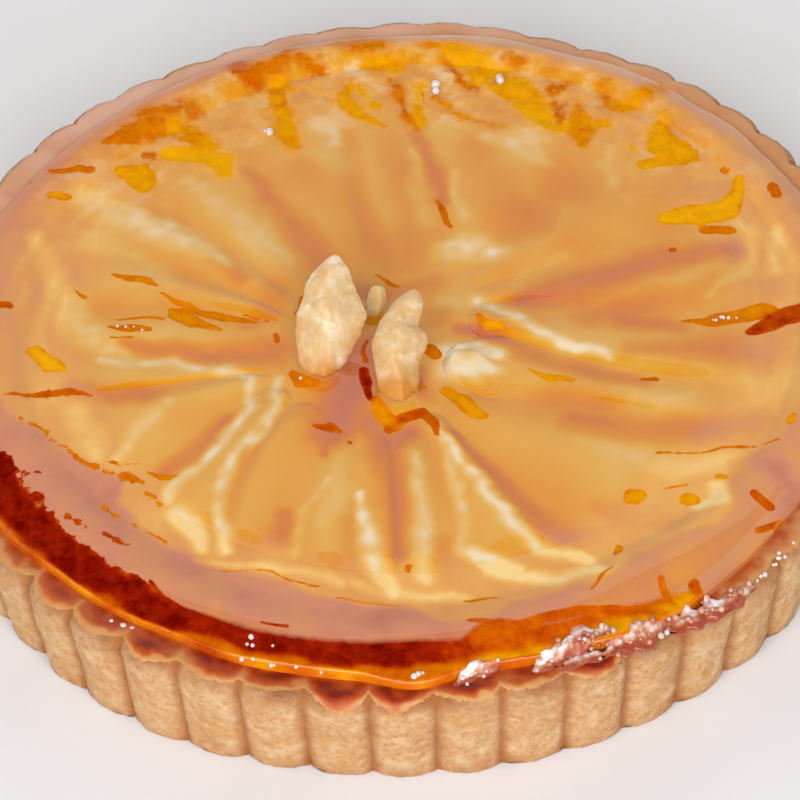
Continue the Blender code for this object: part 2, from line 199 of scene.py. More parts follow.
# Pale places, where pear stands up into the glaze. The two streaks along the near edge of the pears are
# a painted highlight.
PALE_AND_GLINT = (
    (0.85, (-85, 55, 4.5), (-72, 46, 7.0), (-62, 40, 6.5), (-53, 33, 4.5), (-46, 26.5, 2.0)),
    (0.5, (-56, 60, 3.0), (-46, 48, 5.0), (-38, 37, 5.0), (-30, 26, 3.0)),
    (0.62, (-98, 38, 2.5), (-91, 22, 3.4), (-86, 7, 5.0), (-79, -3, 4.6), (-72, -9, 2.0)),
    (0.8, (-78, -9.5, 1.6), (-65, -12, 1.8), (-52, -14.5, 1.6), (-40, -18.5, 1.6)),
    (0.45, (-60, 18, 2.0), (-70, 30, 5.0), (-80, 38, 5.0)),
    # painted highlight along the near edge of the pears
    (0.5, (-52, -81.5, .6), (-44, -84.5, 1.0), (-35, -84.5, .8), (-26, -87, 1.3), (-17, -91, .8)),
    (0.55, (-14, -91, .8), (-5, -96.5, 1.6), (4, -97, 1.0), (14, -98.5, .8)),
    (0.6, (-61, -27, 1.6), (-68, -37, 2.2), (-73, -45, 1.8)),
    (0.5, (-84, -28, 3.0), (-80, -38, 3.5), (-78, -44, 2.0)),
    (0.95, (-38.5, -19, 1.3), (-39, -30, 1.4), (-44, -38.5, 1.5), (-52, -49.5, 1.5), (-58, -56.5, 1.4),
     (-60, -61, 1.0)),
    (0.9, (-32.5, -20, 1.1), (-33, -30, 1.3), (-36, -38, 1.3), (-43, -48.5, 1.3), (-47, -58.5, 1.3),
     (-46, -70, 1.4), (-45, -79, 1.3)),
    (1.15, (-57.5, -65.5, 2.4), (-54, -69.5, 3.4), (-51, -77, 2.2)),
    (0.5, (-20, -57, .8), (-25, -65, 1.2), (-28, -75, 1.4), (-28.5, -81, 1.0)),
    (0.4, (-14, -60, 2.0), (-20, -70, 4.0)),
    (1.0, (-12, -62, 1.0), (-11, -72, 1.6), (-10, -79, 2.4), (-8, -88, 2.6), (-4.5, -96, 1.6)),
    (0.65, (3, -50, 1.2), (3, -62, 1.8), (4, -75, 2.0), (3.5, -90, 2.6)),
    (0.7, (10.5, -46, 1.0), (12, -58, 1.6), (14, -72, 1.6), (13, -84, 1.4)),
    (1.0, (9, -42, .8), (14, -53, 1.4), (19.5, -63, 1.7), (25.5, -74.5, 1.9), (33, -83.5, 2.0),
     (44, -88.5, 1.4)),
    (1.2, (15, -84, 2.0), (20, -87.5, 3.4), (25, -90.5, 2.6)),
    (0.8, (27, -92.5, 1.6), (36, -94, 1.8), (45, -91.5, 1.6)),
    (0.4, (46, -48, 2.0), (56, -54, 4.0), (68, -57, 5.0), (82, -56.5, 4.0)),
    (0.7, (72, -72.5, 1.2), (77.5, -70.5, 1.8), (77, -65.5, 1.8)),
    (0.3, (78, -28, 4.0), (95, -31, 5.0), (100, -27, 4.0)),
    (0.35, (66, -35, 2.5), (74, -34, 3.0)),
    (1.05, (21, 6.5, 2.4), (24.5, 3.5, 2.8), (30, -2, 2.0), (36.5, -8, 1.8), (44, -13.5, 1.7),
     (54, -18, 1.2)),
    (0.55, (11, 6, 2.4), (16, 5.5, 2.4)),
    (1.2, (12, -13, 3.6), (18, -13.5, 5.0), (24, -15.5, 4.0)),
    (1.2, (13, -19, 4.0), (20, -20, 6.0)),
    (0.95, (14, 26, 4.0), (21, 27.5, 6.5), (27, 24, 4.0)),
    (0.4, (31, 13, 2.0), (38, 17.5, 3.5), (46, 22, 2.5)),
    (0.45, (7, 68, 1.6), (6.5, 52, 2.2), (9, 38, 2.0)),
    (0.5, (17, 58, 1.2), (17.5, 48, 1.6), (19, 39, 2.4)),
    (0.9, (-20, 90, 2.4), (-18, 81, 3.6), (-15.5, 73, 2.4)),
    (0.75, (28, 72, 2.6), (35, 67.5, 3.8), (42, 61, 2.4), (38, 70, 3.0)),
    (0.55, (63, 68, 3.0), (60, 58, 2.6), (61, 50, 2.0)),
    (0.45, (90, 38, 1.0), (97, 27, 1.6), (93, 13, 1.6), (82, 4, 1.2)),
    (0.5, (103, 27, 2.0), (101, 12, 2.0)),
)
# Deep places, where the glaze lies thick between the pears: amber, and mauve above 1. The two streaks of
# 1.25 in front of the standing wedges' feet are painted shadow.
DEEP_AND_SHADOW = (
    (0.9, (-70, 52, 2.0), (-62, 44, 2.6), (-55, 36.5, 3.0), (-48, 27.5, 3.0), (-41, 19, 2.0)),
    (0.7, (-40, 64, 1.5), (-34, 52, 3.0), (-29, 42, 4.0), (-23, 31, 5.0), (-19, 22, 4.0)),
    (0.5, (-24, 62, 5.0), (-14, 52, 7.0), (-8, 38, 7.0), (0, 22, 5.0)),
    (0.45, (0, 70, 6.0), (2, 56, 6.0), (3, 40, 5.0), (5, 22, 5.0)),
    (0.95, (8, 75, 1.4), (11, 64, 2.0), (13, 53, 2.0), (14, 46, 1.4)),
    (0.6, (24, 68, 5.0), (26, 56, 7.0), (30, 44, 8.0), (40, 36, 7.0)),
    (0.5, (48, 50, 8.0), (56, 40, 9.0), (48, 28, 7.0)),
    (1.2, (33, 5, 3.0), (45, 7.5, 5.5), (58, 13, 6.0), (73, 18, 6.0), (90, 21, 3.5)),
    (0.55, (50, -2, 5.0), (66, 2, 7.0), (84, 8, 5.0)),
    (0.8, (58, -5, 2.5), (66, -6.5, 3.5), (74, -8, 2.5)),
    (0.9, (60, -16, 3.0), (75, -17, 5.0), (92, -18, 6.0)),
    (0.5, (62, 50, 5.0), (72, 46, 6.0), (84, 44, 4.0)),
    (0.8, (22, -8, 2.5), (30, -14, 2.6), (41, -20, 2.6), (52, -25, 2.4), (62, -28, 2.0)),
    (1.3, (16, -4, 1.6), (20, -5.5, 2.0), (26, -9.5, 2.0)),
    (0.7, (44, -40, 4.0), (58, -45, 4.5), (76, -45.5, 4.5), (90, -43.5, 3.5)),
    (0.4, (40, -30, 5.0), (52, -34, 5.0)),
    (0.95, (12, -44, 1.4), (18, -54, 2.6), (25, -65, 3.4), (32, -75, 4.0), (38, -82, 4.0)),
    (0.35, (48, -70, 3.0), (56, -78, 4.0), (70, -76, 2.0)),
    (1.0, (-5, -43, 4.0), (-4.5, -55, 4.4), (-3.5, -70, 3.4), (-3, -84, 2.0)),
    (0.5, (8, -80, 2.0), (9, -93, 2.4)),
    (0.35, (-16, -72, 3.0), (-15, -84, 3.5)),
    (0.8, (-30, -68, 1.6), (-32, -75, 3.4)),
    (0.9, (-20, -41, 1.6), (-20.5, -48, 1.2)),
    (0.9, (-45, -33, 1.2), (-50, -41, 2.4), (-55, -47, 3.2), (-61, -51, 2.0)),
    (0.8, (-86, -19, 2.0), (-74, -22, 4.0), (-66, -24, 3.5)),
    (0.95, (-72, -4, 1.6), (-60, -7.5, 3.0), (-46, -10.5, 4.5), (-34, -10, 5.0)),
    (0.5, (-40, 1, 2.0), (-34, 6, 3.0), (-34, 13, 4.0)),
    # painted shadow in front of the wedges' feet, in mauve
    (1.25, (-8, -10, 4.0), (-13, -22, 9.0), (-15, -32, 9.0), (-18, -40, 6.0)),
    (1.25, (-9, -37, 5.0), (-4, -44, 5.0), (1, -41, 3.0)),
    (0.8, (-10, 12, 3.0), (-4, 9, 3.5), (2, 13, 3.0), (9, 14, 4.0)),
    (0.45, (10, 8, 3.0), (11, 0, 3.0)),
    (0.75, (5, -20, 2.0), (5, -28, 2.5)),
    (0.9, (92, -60, 3.0), (96, -68, 4.0), (93, -77, 3.0)),
)


# small tools

def linear(hex_colour):
    """An sRGB hex colour as linear RGBA."""
    channels = [int(hex_colour[i:i + 2], 16) / 255 for i in (1, 3, 5)]
    return (*[c / 12.92 if c <= 0.04045 else ((c + 0.055) / 1.055) ** 2.4 for c in channels], 1.0)


def clamp(value, low=0.0, high=1.0):
    return max(low, min(high, value))


def smooth(low, high, value):
    """0 below low, 1 above high, eased between them."""
    share = clamp((value - low) / (high - low))
    return share * share * (3 - 2 * share)


def polar(radius, bearing):
    return Vector((radius * math.cos(bearing), radius * math.sin(bearing)))


def wander(bearing, cycles, seed):
    """A smooth random wave round the tart, from -1 to 1."""
    x, y = polar(cycles / TAU, bearing)
    return 2 * noise.noise((x, y, seed * 7.31))


def grain(x, y, z, size, seed=0.0):
    """Smooth noise from -1 to 1 whose bumps are about size across, all in metres."""
    return noise.noise((x / size + seed, y / size - seed, z / size + 2 * seed))


def shift_at(x, y, size, seed):
    """A smooth random shift of a spot, each way from -1 to 1, over swirls about size across."""
    return (noise.noise((x / size, y / size, seed)),
            noise.noise((x / size, y / size, seed + 40.0)))


def near_bearing(bearing, middle, width):
    """1 at the middle bearing, falling to 0 at width either side, in degrees."""
    away = abs((math.degrees(bearing) - middle + 180) % 360 - 180)
    return 1 - smooth(0.0, width, away)


def reach_of(streak):
    """A circle round a streak: its middle and how far out anything lies."""
    spots = streak[1:]
    x = sum(spot[0] for spot in spots) / len(spots)
    y = sum(spot[1] for spot in spots) / len(spots)
    return x, y, max(math.hypot(spot[0] - x, spot[1] - y) + spot[2] for spot in spots)


REACH = {streak: reach_of(streak) for streak in POOLS + PALE_AND_GLINT + DEEP_AND_SHADOW}
SOFT = 3.0                          # how far outside a pool it still tells, in millimetres
GLOW = 6.0                          # the same for a pale or a deep place
GROUPS = {"pool": POOLS, "pale": PALE_AND_GLINT, "deep": DEEP_AND_SHADOW}
PATCH = 8                           # side of a small patch whose streaks are found once
PATCHES = {}


def stretches(x, y, streak):
    """A streak's half-width beside a spot and the spot's distance, for each stretch of it."""
    for (x0, y0, r0), (x1, y1, r1) in zip(streak[1:], streak[2:]):
        run_x, run_y = x1 - x0, y1 - y0
        share = clamp(((x - x0) * run_x + (y - y0) * run_y) / (run_x ** 2 + run_y ** 2))
        yield r0 + (r1 - r0) * share, math.hypot(x - x0 - run_x * share, y - y0 - run_y * share)


def inside(x, y, streak):
    """How far inside a streak a spot lies, in millimetres; below zero outside it."""
    middle_x, middle_y, reach = REACH[streak]
    if math.hypot(x - middle_x, y - middle_y) > reach + SOFT:
        return -SOFT
    return max([-SOFT] + [width - away for width, away in stretches(x, y, streak)])


def nearby(x, y, group):
    """The streaks of a group that can reach a spot, found once for each small patch."""
    patch = (round(x / PATCH), round(y / PATCH), group)
    if patch not in PATCHES:
        middle = (PATCH * patch[0], PATCH * patch[1])
        PATCHES[patch] = [streak for streak in GROUPS[group]
                          if math.dist(middle, REACH[streak][:2]) < REACH[streak][2] + 2 * GLOW]
    return PATCHES[patch]


def closeness(x, y, streak):
    """1 on the middle line of a streak, easing to 0 outside it."""
    middle_x, middle_y, reach = REACH[streak]
    if math.hypot(x - middle_x, y - middle_y) > reach + GLOW:
        return 0.0
    best = max(1 - away / (1.5 * width + 1.3) for width, away in stretches(x, y, streak))
    return smooth(0.0, 1.0, best)


def strongest(x, y, group):
    """The strongest of a group's soft-edged streaks at a spot, in metres."""
    x, y = x / MM, y / MM
    swirl_x, swirl_y = shift_at(x, y, 9, 5.0)
    ripple_x, ripple_y = shift_at(x, y, 3, 8.0)
    x, y = x + 1.6 * swirl_x + 0.5 * ripple_x, y + 1.6 * swirl_y + 0.5 * ripple_y
    return max([0.0] + [streak[0] * closeness(x, y, streak) for streak in nearby(x, y, group)])


def pool_at(x, y):
    """How far inside the glaze pools a spot lies, in millimetres, and how dark they are there."""
    x, y = x / MM, y / MM
    depth, weight, tone = -SOFT, 1e-6, 0.0
    swirl_x, swirl_y = shift_at(x, y, 7, 2.0)
    x, y = x + 1.5 * swirl_x, y + 1.1 * swirl_y
    for streak in nearby(x, y, "pool"):
        here = inside(x, y, streak)
        if here > -SOFT:
            depth = max(depth, here)
            share = math.exp(2.5 * here)
            weight += share
            tone += share * streak[0]
    return depth, tone / weight


def softened(pool, ragged, far):
    """Pools of the far side end softly: both depth and raggedness are eased there."""
    ease = 1 - 0.92 * smooth(0.25, 0.6, far)
    return pool * ease, ragged * ease * (2.4 - 1.4 * ease)


def deselect():
    if bpy.context.object and bpy.context.object.mode != "OBJECT":
        bpy.ops.object.mode_set(mode="OBJECT")
    bpy.ops.object.select_all(action="DESELECT")


def shaped_grid(name, columns, rows, place, masks=()):
    """A grid primitive with each point put where place(u, v) says.

    place gives x, y, z and then one value for each named mask, kept as an attribute."""
    deselect()
    bpy.ops.mesh.primitive_grid_add(x_subdivisions=columns, y_subdivisions=rows, size=1)
    thing = bpy.context.object
    thing.name = name
    mesh = thing.data
    mesh.name = name
    values = [[] for _ in masks]
    spots = []
    for vert in mesh.vertices:
        spot = place(vert.co.x + 0.5, vert.co.y + 0.5)
        spots.extend(spot[:3])
        for store, value in zip(values, spot[3:]):
            store.append(value)
    mesh.vertices.foreach_set("co", spots)
    for mask, store in zip(masks, values):
        mesh.attributes.new(mask, "FLOAT", "POINT").data.foreach_set("value", store)
    mesh.update()
    return thing


def pick(thing):
    """Selects one piece alone and makes it the active one."""
    deselect()
    thing.select_set(True)
    bpy.context.view_layer.objects.active = thing


def edit(thing, select):
    """Edit mode on one piece, with everything or nothing selected."""
    pick(thing)
    bpy.ops.object.mode_set(mode="EDIT")
    bpy.ops.mesh.select_all(action=select)


def weld(thing, outward=True):
    """Joins the seam and the poles of a piece and points its faces outwards."""
    edit(thing, "SELECT")
    bpy.ops.mesh.remove_doubles(threshold=1e-6)
    if outward:
        bpy.ops.mesh.normals_make_consistent(inside=False)
    bpy.ops.object.mode_set(mode="OBJECT")


def edit_open_edges(thing):
    """Edit mode on one piece, with only its open edges selected."""
    edit(thing, "DESELECT")
    bpy.ops.mesh.select_mode(type="EDGE")
    bpy.ops.mesh.select_non_manifold(extend=False, use_boundary=True, use_wire=False,
                                     use_multi_face=False, use_non_contiguous=False)


def close(thing):
    """Fills the open edge of a piece and points its faces outwards."""
    edit_open_edges(thing)
    bpy.ops.mesh.edge_face_add()
    bpy.ops.mesh.select_all(action="SELECT")
    bpy.ops.mesh.normals_make_consistent(inside=False)
    bpy.ops.object.mode_set(mode="OBJECT")


def drop_skirt(thing, level):
    """Extrudes a sheet's edge straight down to a level and closes it underneath."""
    edit_open_edges(thing)
    bpy.ops.mesh.extrude_region_move()
    bpy.ops.object.mode_set(mode="OBJECT")
    for vert in thing.data.vertices:
        if vert.select:
            vert.co.z = level
    close(thing)


SHARP = math.radians(62)            # a fold sharper than this stays an edge


def finish_piece(thing, material, slot, *nodes):
    """Shading, material and place in the frame of one finished piece."""
    pick(thing)
    bpy.ops.object.shade_smooth_by_angle(angle=SHARP)
    thing.data.materials.clear()
    thing.data.materials.append(material)
    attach(thing, "root")
    if nodes:
        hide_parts(*nodes)
    return thing


# materials

COLOURS = {"data_type": "RGBA", "out": 2}       # settings of a node that mixes colours


def wire(tree, node, values):
    """Sets each named input of a node to a value, or links it to a socket."""
    for key, value in values.items():
        if isinstance(value, bpy.types.NodeSocket):
            tree.links.new(value, node.inputs[key])
        else:
            node.inputs[key].default_value = value


def add(tree, kind, values=None, out=0, stops=(), **settings):
    """Adds one node with its settings, inputs and colour stops, and gives one of its outputs."""
    made = tree.nodes.new("ShaderNode" + kind)
    for key, value in settings.items():
        setattr(made, key, value)
    if stops:
        elements = made.color_ramp.elements
        while len(elements) < len(stops):
            elements.new(0.5)
        for element, (position, colour) in zip(elements, stops):
            element.position = position
            element.color = linear(colour)
    wire(tree, made, values or {})
    return made.outputs[out]


def pattern(place, size_mm, detail=4.0, roughness=0.55):
    """The inputs of a noise whose blotches are about size_mm across."""
    return {"Vector": place, "Scale": 1000.0 / size_mm, "Detail": detail, "Roughness": roughness}


def blotches(tree, place, size_mm, detail=4.0, roughness=0.55):
    """Blotches about size_mm across, from -0.5 to 0.5."""
    cloud = add(tree, "TexNoise", pattern(place, size_mm, detail, roughness))
    return add(tree, "Math", {0: cloud, 1: 0.5}, operation="SUBTRACT")


def new_material(name, *masks):
    """A material, its tree and shader, the place on the piece, and masks that the piece carries."""
    material = bpy.data.materials.new(name)
    material.use_nodes = True
    tree = material.node_tree
    place = add(tree, "TexCoord", out="Object")
    told = {mask: add(tree, "Attribute", out="Fac", attribute_name=mask) for mask in masks}
    return material, tree, tree.nodes["Principled BSDF"], place, told


def shortcrust():
    """Baked shortcrust: matt, open-grained and pale gold, toasted where it met the tin, with painted
    shade darkening its flute creases.
    """
    material, tree, shader, place, told = new_material(
        "baked_shortcrust", "toast_and_crease_shade", "caramel", "burnt")
    broad = add(tree, "TexNoise", pattern(place, 14, 3))
    medium = add(tree, "TexNoise", pattern(place, 4.5, 5))
    crumb = add(tree, "TexNoise", pattern(place, 1.9, 6, 0.75))
    colour = add(tree, "ValToRGB", {0: crumb}, stops=(
        (0.3, "#BE8854"), (0.48, "#DAAC78"), (0.66, "#EAC598")))
    rubbed = {"Value": broad, "From Min": 0.35, "From Max": 0.65, "To Max": 0.55}
    floury = {"Value": medium, "From Min": 0.5, "From Max": 0.68, "To Max": 0.6}
    syrup = add(tree, "ValToRGB", {0: medium}, stops=((0.3, "#5A1404"), (0.7, "#A8430F")))
    for share, over in ((add(tree, "MapRange", rubbed), linear("#CE9258")),
                        (add(tree, "MapRange", floury), linear("#EBD0A8")),
                        (told["toast_and_crease_shade"], linear("#B06C38")),
                        (told["caramel"], syrup),
                        (told["burnt"], linear("#4A2A12"))):
        colour = add(tree, "Mix", {0: share, 6: colour, 7: over}, **COLOURS)
    wire(tree, shader, {
        "Base Color": colour,
        "Roughness": add(tree, "MapRange", {"Value": told["caramel"], "To Min": 0.78, "To Max": 0.16}),
        "Normal": add(tree, "Bump", {"Height": crumb, "Strength": 1.0, "Distance": 0.0014}),
        "Specular IOR Level": 0.3,
    })
    return material


def glaze_over(tree, shader, place, told, base, level):
    """Set glaze over a surface: mirror smooth, levelled by its own weight, clear in its pools."""
    boiled = add(tree, "ValToRGB", {0: add(tree, "TexNoise", pattern(place, 11, 4, 0.6))}, stops=(
        (0.32, "#C67C1C"), (0.44, "#D08C18"), (0.54, "#D69A38"), (0.66, "#DAB47C")))
    base = add(tree, "Mix", {0: told["froth"], 6: base, 7: boiled}, **COLOURS)

    # the pools' edges, torn by a jagged grain; a thin brim of each pale pool is darker
    edge = add(tree, "Math", {0: blotches(tree, place, 2.4, 3), 1: told["ragged"], 2: told["pool"]},
               operation="MULTIPLY_ADD")
    pooled = add(tree, "MapRange", {"Value": edge, "From Min": -0.14, "From Max": 0.14})
    brim = add(tree, "MapRange", {
        "Value": edge, "From Min": 0.1, "From Max": 1.5, "To Min": 0.4, "To Max": 0.0})
    pale = add(tree, "Math", {0: 0.5, 1: told["tone"]}, operation="SUBTRACT")
    torn = add(tree, "Math", {0: told["ragged"], 1: 1.0}, operation="MINIMUM")
    for share in (pale, torn):
        brim = add(tree, "Math", {0: brim, 1: share}, operation="MULTIPLY")
    tone = add(tree, "Math", {0: blotches(tree, place, 4, 5, 0.65), 1: 0.6, 2: told["tone"]},
               operation="MULTIPLY_ADD")
    tone = add(tree, "Math", {0: tone, 1: brim}, operation="ADD")
    clear = add(tree, "ValToRGB", {0: tone}, stops=(
        (0.0, "#E8AA0E"), (0.2, "#DC9406"), (0.4, "#CE7202"),
        (0.6, "#BC5002"), (0.8, "#961E02"), (1.0, "#660501")))

    # the glaze lies flatter than what is under it, and its pools lean away from the window
    normal = add(tree, "Bump", {
        "Height": add(tree, "TexNoise", pattern(place, 9, 2)), "Strength": 1.0,
        "Distance": 0.00008, "Normal": add(tree, "NewGeometry", out="Normal")})
    steep = add(tree, "Math", {0: 1.0, 1: level}, operation="SUBTRACT")
    normal = add(tree, "VectorMath", {0: normal, "Scale": steep}, operation="SCALE")
    lean = add(tree, "Math", {0: level, 1: -0.52}, operation="MULTIPLY")
    lean = add(tree, "Math", {0: pooled, 1: lean}, operation="MULTIPLY")
    lean = add(tree, "CombineXYZ", {"Y": lean, "Z": level})
    normal = add(tree, "VectorMath", {0: normal, 1: lean}, operation="ADD")
    wire(tree, shader, {
        "Base Color": add(tree, "Mix", {0: pooled, 6: base, 7: clear}, **COLOURS),
        "Coat Normal": add(tree, "VectorMath", {0: normal}, operation="NORMALIZE"),
        "Coat Weight": 1.0, "Coat Roughness": 0.03, "Coat IOR": 1.48,
        "Specular IOR Level": 0.0, "Roughness": 0.5,
    })


def almond_colour(tree, place, told):
    """Browned almond filling: amber, then tan, then dark red-brown where it caught the heat."""
    bake = add(tree, "Math", {0: blotches(tree, place, 9, 5, 0.6), 1: 0.3, 2: told["bake"]},
               operation="MULTIPLY_ADD")
    return add(tree, "ValToRGB", {0: bake}, stops=(
        (0.0, "#E2C27E"), (0.18, "#D8A24A"), (0.36, "#CC8A3C"), (0.56, "#BC7656"),
        (0.72, "#AC5C3C"), (0.86, "#8A3018"), (1.0, "#6C0E02")))


def browned_almond():
    """The border of the filling under the set glaze: warmer at the left, with a painted greyish sheen at
    the far edge.
    """
    material, tree, shader, place, told = new_material(
        "browned_almond_filling", "pool", "tone", "ragged", "froth", "bake", "warm", "far_sheen", "level")
    base = almond_colour(tree, place, told)
    for mask, colour in (("warm", "#C46118"), ("far_sheen", "#D0AC8E")):
        base = add(tree, "Mix", {0: told[mask], 6: base, 7: linear(colour)}, **COLOURS)
    level = add(tree, "Math", {0: told["level"], 1: 0.5}, operation="MULTIPLY")
    glaze_over(tree, shader, place, told, base, level)
    return material


def glazed_pear():
    """Cooked pear under glaze: cream where it stands up, amber where the glaze lies thicker."""
    material, tree, shader, place, told = new_material(
        "glazed_pear", "pool", "tone", "ragged", "froth", "bake", "browned", "depth")
    depth = told["depth"]
    for size_mm, much in ((14, 0.16), (1.6, 0.06)):
        depth = add(tree, "Math", {0: blotches(tree, place, size_mm), 1: much, 2: depth},
                    operation="MULTIPLY_ADD")
    base = add(tree, "ValToRGB", {0: depth}, stops=(
        (0.0, "#D8C8A8"), (0.15, "#D6BC92"), (0.32, "#D2AA68"), (0.5, "#CE9A3C"),
        (0.66, "#CC8418"), (0.82, "#C47020"), (0.92, "#BE6A36"), (1.0, "#B46448")))
    almond = almond_colour(tree, place, told)
    base = add(tree, "Mix", {0: told["browned"], 6: base, 7: almond}, **COLOURS)
    glaze_over(tree, shader, place, told, base, 0.5)
    return material


def caramel_glaze():
    """Glaze baked onto the pastry rim: thin and brown, near black-red where it gathered, with a painted
    greyish-pink sheen on the far side.
    """
    material, tree, shader, place, told = new_material("caramel_glaze", "tone", "far_sheen")
    cloud = blotches(tree, place, 5, 5, 0.65)
    tone = add(tree, "Math", {0: cloud, 1: 0.55, 2: told["tone"]}, operation="MULTIPLY_ADD")
    colour = add(tree, "ValToRGB", {0: tone}, stops=(
        (0.1, "#BC8850"), (0.26, "#BA7C48"), (0.42, "#AE5624"), (0.66, "#9A3606"), (0.92, "#701802")))
    wire(tree, shader, {
        "Base Color": add(tree, "Mix", {0: told["far_sheen"], 6: colour, 7: linear("#CEA492")}, **COLOURS),
        "Normal": add(tree, "Bump", {"Height": cloud, "Strength": 0.5, "Distance": 0.0004}),
        "Coat Weight": 0.15, "Coat Roughness": 0.25, "Coat IOR": 1.48,
        "Specular IOR Level": 0.25, "Roughness": 0.5,
    })
    return material


def glaze_bubbles():
    """Froth set in the glaze: reddish amber in its hollows, near white where walls are thin and where
    glints fall, the whitest parts a painted highlight.
    """
    material, tree, shader, place, told = new_material("glaze_bubbles", "thin")
    thin = add(tree, "Math", {0: blotches(tree, place, 2, 3), 1: 0.5, 2: told["thin"]},
               operation="MULTIPLY_ADD")
    wire(tree, shader, {
        "Base Color": add(tree, "ValToRGB", {0: thin}, stops=(
            (0.0, "#9A3C1C"), (0.3, "#B06844"), (0.62, "#C49C8A"), (0.95, "#E2DCE6"))),
        "Coat Weight": 0.8, "Coat Roughness": 0.2, "Coat IOR": 1.5, "Roughness": 0.45,
    })
    return material


def bare_pear(name, dark, middle, light, thread):
    """Cooked pear standing clear of the glaze: cream, damp, threaded and finely gritty."""
    material, tree, shader, place, told = new_material(name, "amber")
    cloud = add(tree, "TexNoise", pattern(place, 6))
    colour = add(tree, "ValToRGB", {0: cloud}, stops=((0.32, dark), (0.5, middle), (0.66, light)))
    drawn = add(tree, "Mapping", {"Vector": place, "Scale": (1.0, 1.0, 0.22)})
    fibre = add(tree, "MapRange", {
        "Value": add(tree, "TexNoise", pattern(drawn, 2.6, 3)),
        "From Min": 0.48, "From Max": 0.66, "To Max": 0.75})
    for share, over in ((fibre, thread), (told["amber"], "#C4822E")):
        colour = add(tree, "Mix", {0: share, 6: colour, 7: linear(over)}, **COLOURS)
    grit = add(tree, "TexNoise", pattern(place, 0.9))
    wire(tree, shader, {
        "Base Color": colour,
        "Normal": add(tree, "Bump", {"Height": grit, "Strength": 0.6, "Distance": 0.0003}),
        "Roughness": 0.45, "Specular IOR Level": 0.3, "Subsurface Weight": 0.6,
        "Subsurface Radius": (1.0, 0.62, 0.34), "Subsurface Scale": 0.005,
    })
    return material


# pastry shell

CRUST_COLUMNS = 20                  # points across one flute
CRUST_ROWS = 64


def tilt(bearing):
    return RIM_TILT * math.sin(bearing)


# the wall's outline: the foot is rounded, the face leans in, the rim rolls over, the inner side drops
FOOT_SHARE, FACE_SHARE, RIM_SHARE = 0.08, 0.70, 0.88
FOOT_RISE, FOOT_ROUND = 1.8 * MM, 1.4 * MM
FACE_RISE, FACE_LEAN = 26.5 * MM, 0.25 * MM
ROLL_RISE, ROLL_DEPTH = 3.6 * MM, 4.6 * MM
INNER_DROP, INNER_DEPTH = 1.2 * MM, 9.0 * MM
RIM_FLUTE = 0.35                    # share of the flutes' depth that is left on the rim


def wall_section(share):
    """Height, inset and flute depth of the shell's outline, from its foot over its rim."""
    if share < FOOT_SHARE:
        turn = share / FOOT_SHARE * math.pi / 2
        return FOOT_RISE * (1 - math.cos(turn)), FOOT_ROUND * (1 - math.sin(turn)), 0.9
    if share < FACE_SHARE:
        part = (share - FOOT_SHARE) / (FACE_SHARE - FOOT_SHARE)
        return FOOT_RISE + FACE_RISE * part, FACE_LEAN * part, 1.0
    top = FOOT_RISE + FACE_RISE
    if share < RIM_SHARE:
        turn = (share - FACE_SHARE) / (RIM_SHARE - FACE_SHARE) * math.pi / 2
        over = 1 - math.cos(turn)
        inset = FACE_LEAN + ROLL_DEPTH * over
        return top + ROLL_RISE * math.sin(turn), inset, 1 - (1 - RIM_FLUTE) * over
    part = (share - RIM_SHARE) / (1 - RIM_SHARE)
    inset = FACE_LEAN + ROLL_DEPTH + INNER_DEPTH * part
    return top + ROLL_RISE - INNER_DROP * part, inset, RIM_FLUTE * (1 - part)


def crust_point(u, v):
    """A point of the shell, u round it and v up its wall and over the rim, with its masks."""
    pitch = TAU / FLUTES
    turn = u * FLUTES
    flute = math.floor(turn + 1e-6) % FLUTES
    step = turn - math.floor(turn + 1e-6)
    drift = 0.06 * wander(flute * pitch, 23, 1)
    bearing = FLUTE_PHASE + pitch * (flute + step + drift * math.sin(math.pi * step))
    bulge = max(0.0, math.sin(math.pi * step)) ** 0.62
    height, inset, depth_share = wall_section(v)
    depth = FLUTE_DEPTH * (1 + 0.22 * wander(bearing, 31, 2)) * depth_share
    face = RIM_RADIUS - FLARE * (1 - height / RIM_HEIGHT) - inset
    face += 0.5 * MM * wander(bearing, 17, 3) - depth * (1 - bulge)
    rise = (0.7 * MM * wander(bearing, 19, 4) + tilt(bearing)) * (height / RIM_HEIGHT) ** 2
    x, y = polar(face, bearing)
    z = height + rise
    rough = 0.4 * grain(x, y, z, 9 * MM) + 0.34 * grain(x, y, z, 2.8 * MM, 3)
    rough += 0.18 * grain(x, y, z, 1.2 * MM, 5) - 0.45
    x, y = polar(face + rough * MM, bearing)
    if v < 0.02:
        z = height

    top = smooth(0.66, 0.82, v)
    scallop = smooth(0.15, 0.75, bulge)
    patchy = 0.5 + 0.9 * wander(bearing, 60, 11)
    facing = near_bearing(bearing, -95, 75)
    caramel = 0.5 * clamp(top * scallop * (0.35 + 0.65 * facing) * clamp(0.7 + patchy))
    # painted shade in the flute creases; the foot and the rim top are toasted
    toast_and_crease_shade = 0.8 * (1 - smooth(0.1, 0.7, bulge)) + 0.35 * (1 - smooth(0.05, 0.25, v))
    toast_and_crease_shade += 0.3 * smooth(0.6, 0.8, v) + 0.2 * grain(x, y, z, 7 * MM, 8)
    speck = grain(x, y, z, 3 * MM, 9)
    burnt = smooth(0.25, 0.5, speck) * (1 - smooth(0.03, 0.12, v))
    return x, y, z, clamp(toast_and_crease_shade), caramel, burnt


def crust(material):
    thing = shaped_grid("crust", FLUTES * CRUST_COLUMNS + 1, CRUST_ROWS + 1, crust_point,
                        ("toast_and_crease_shade", "caramel", "burnt"))
    weld(thing)
    close(thing)
    return finish_piece(thing, material, "shortcrust", "pastry_shell")


# almond filling

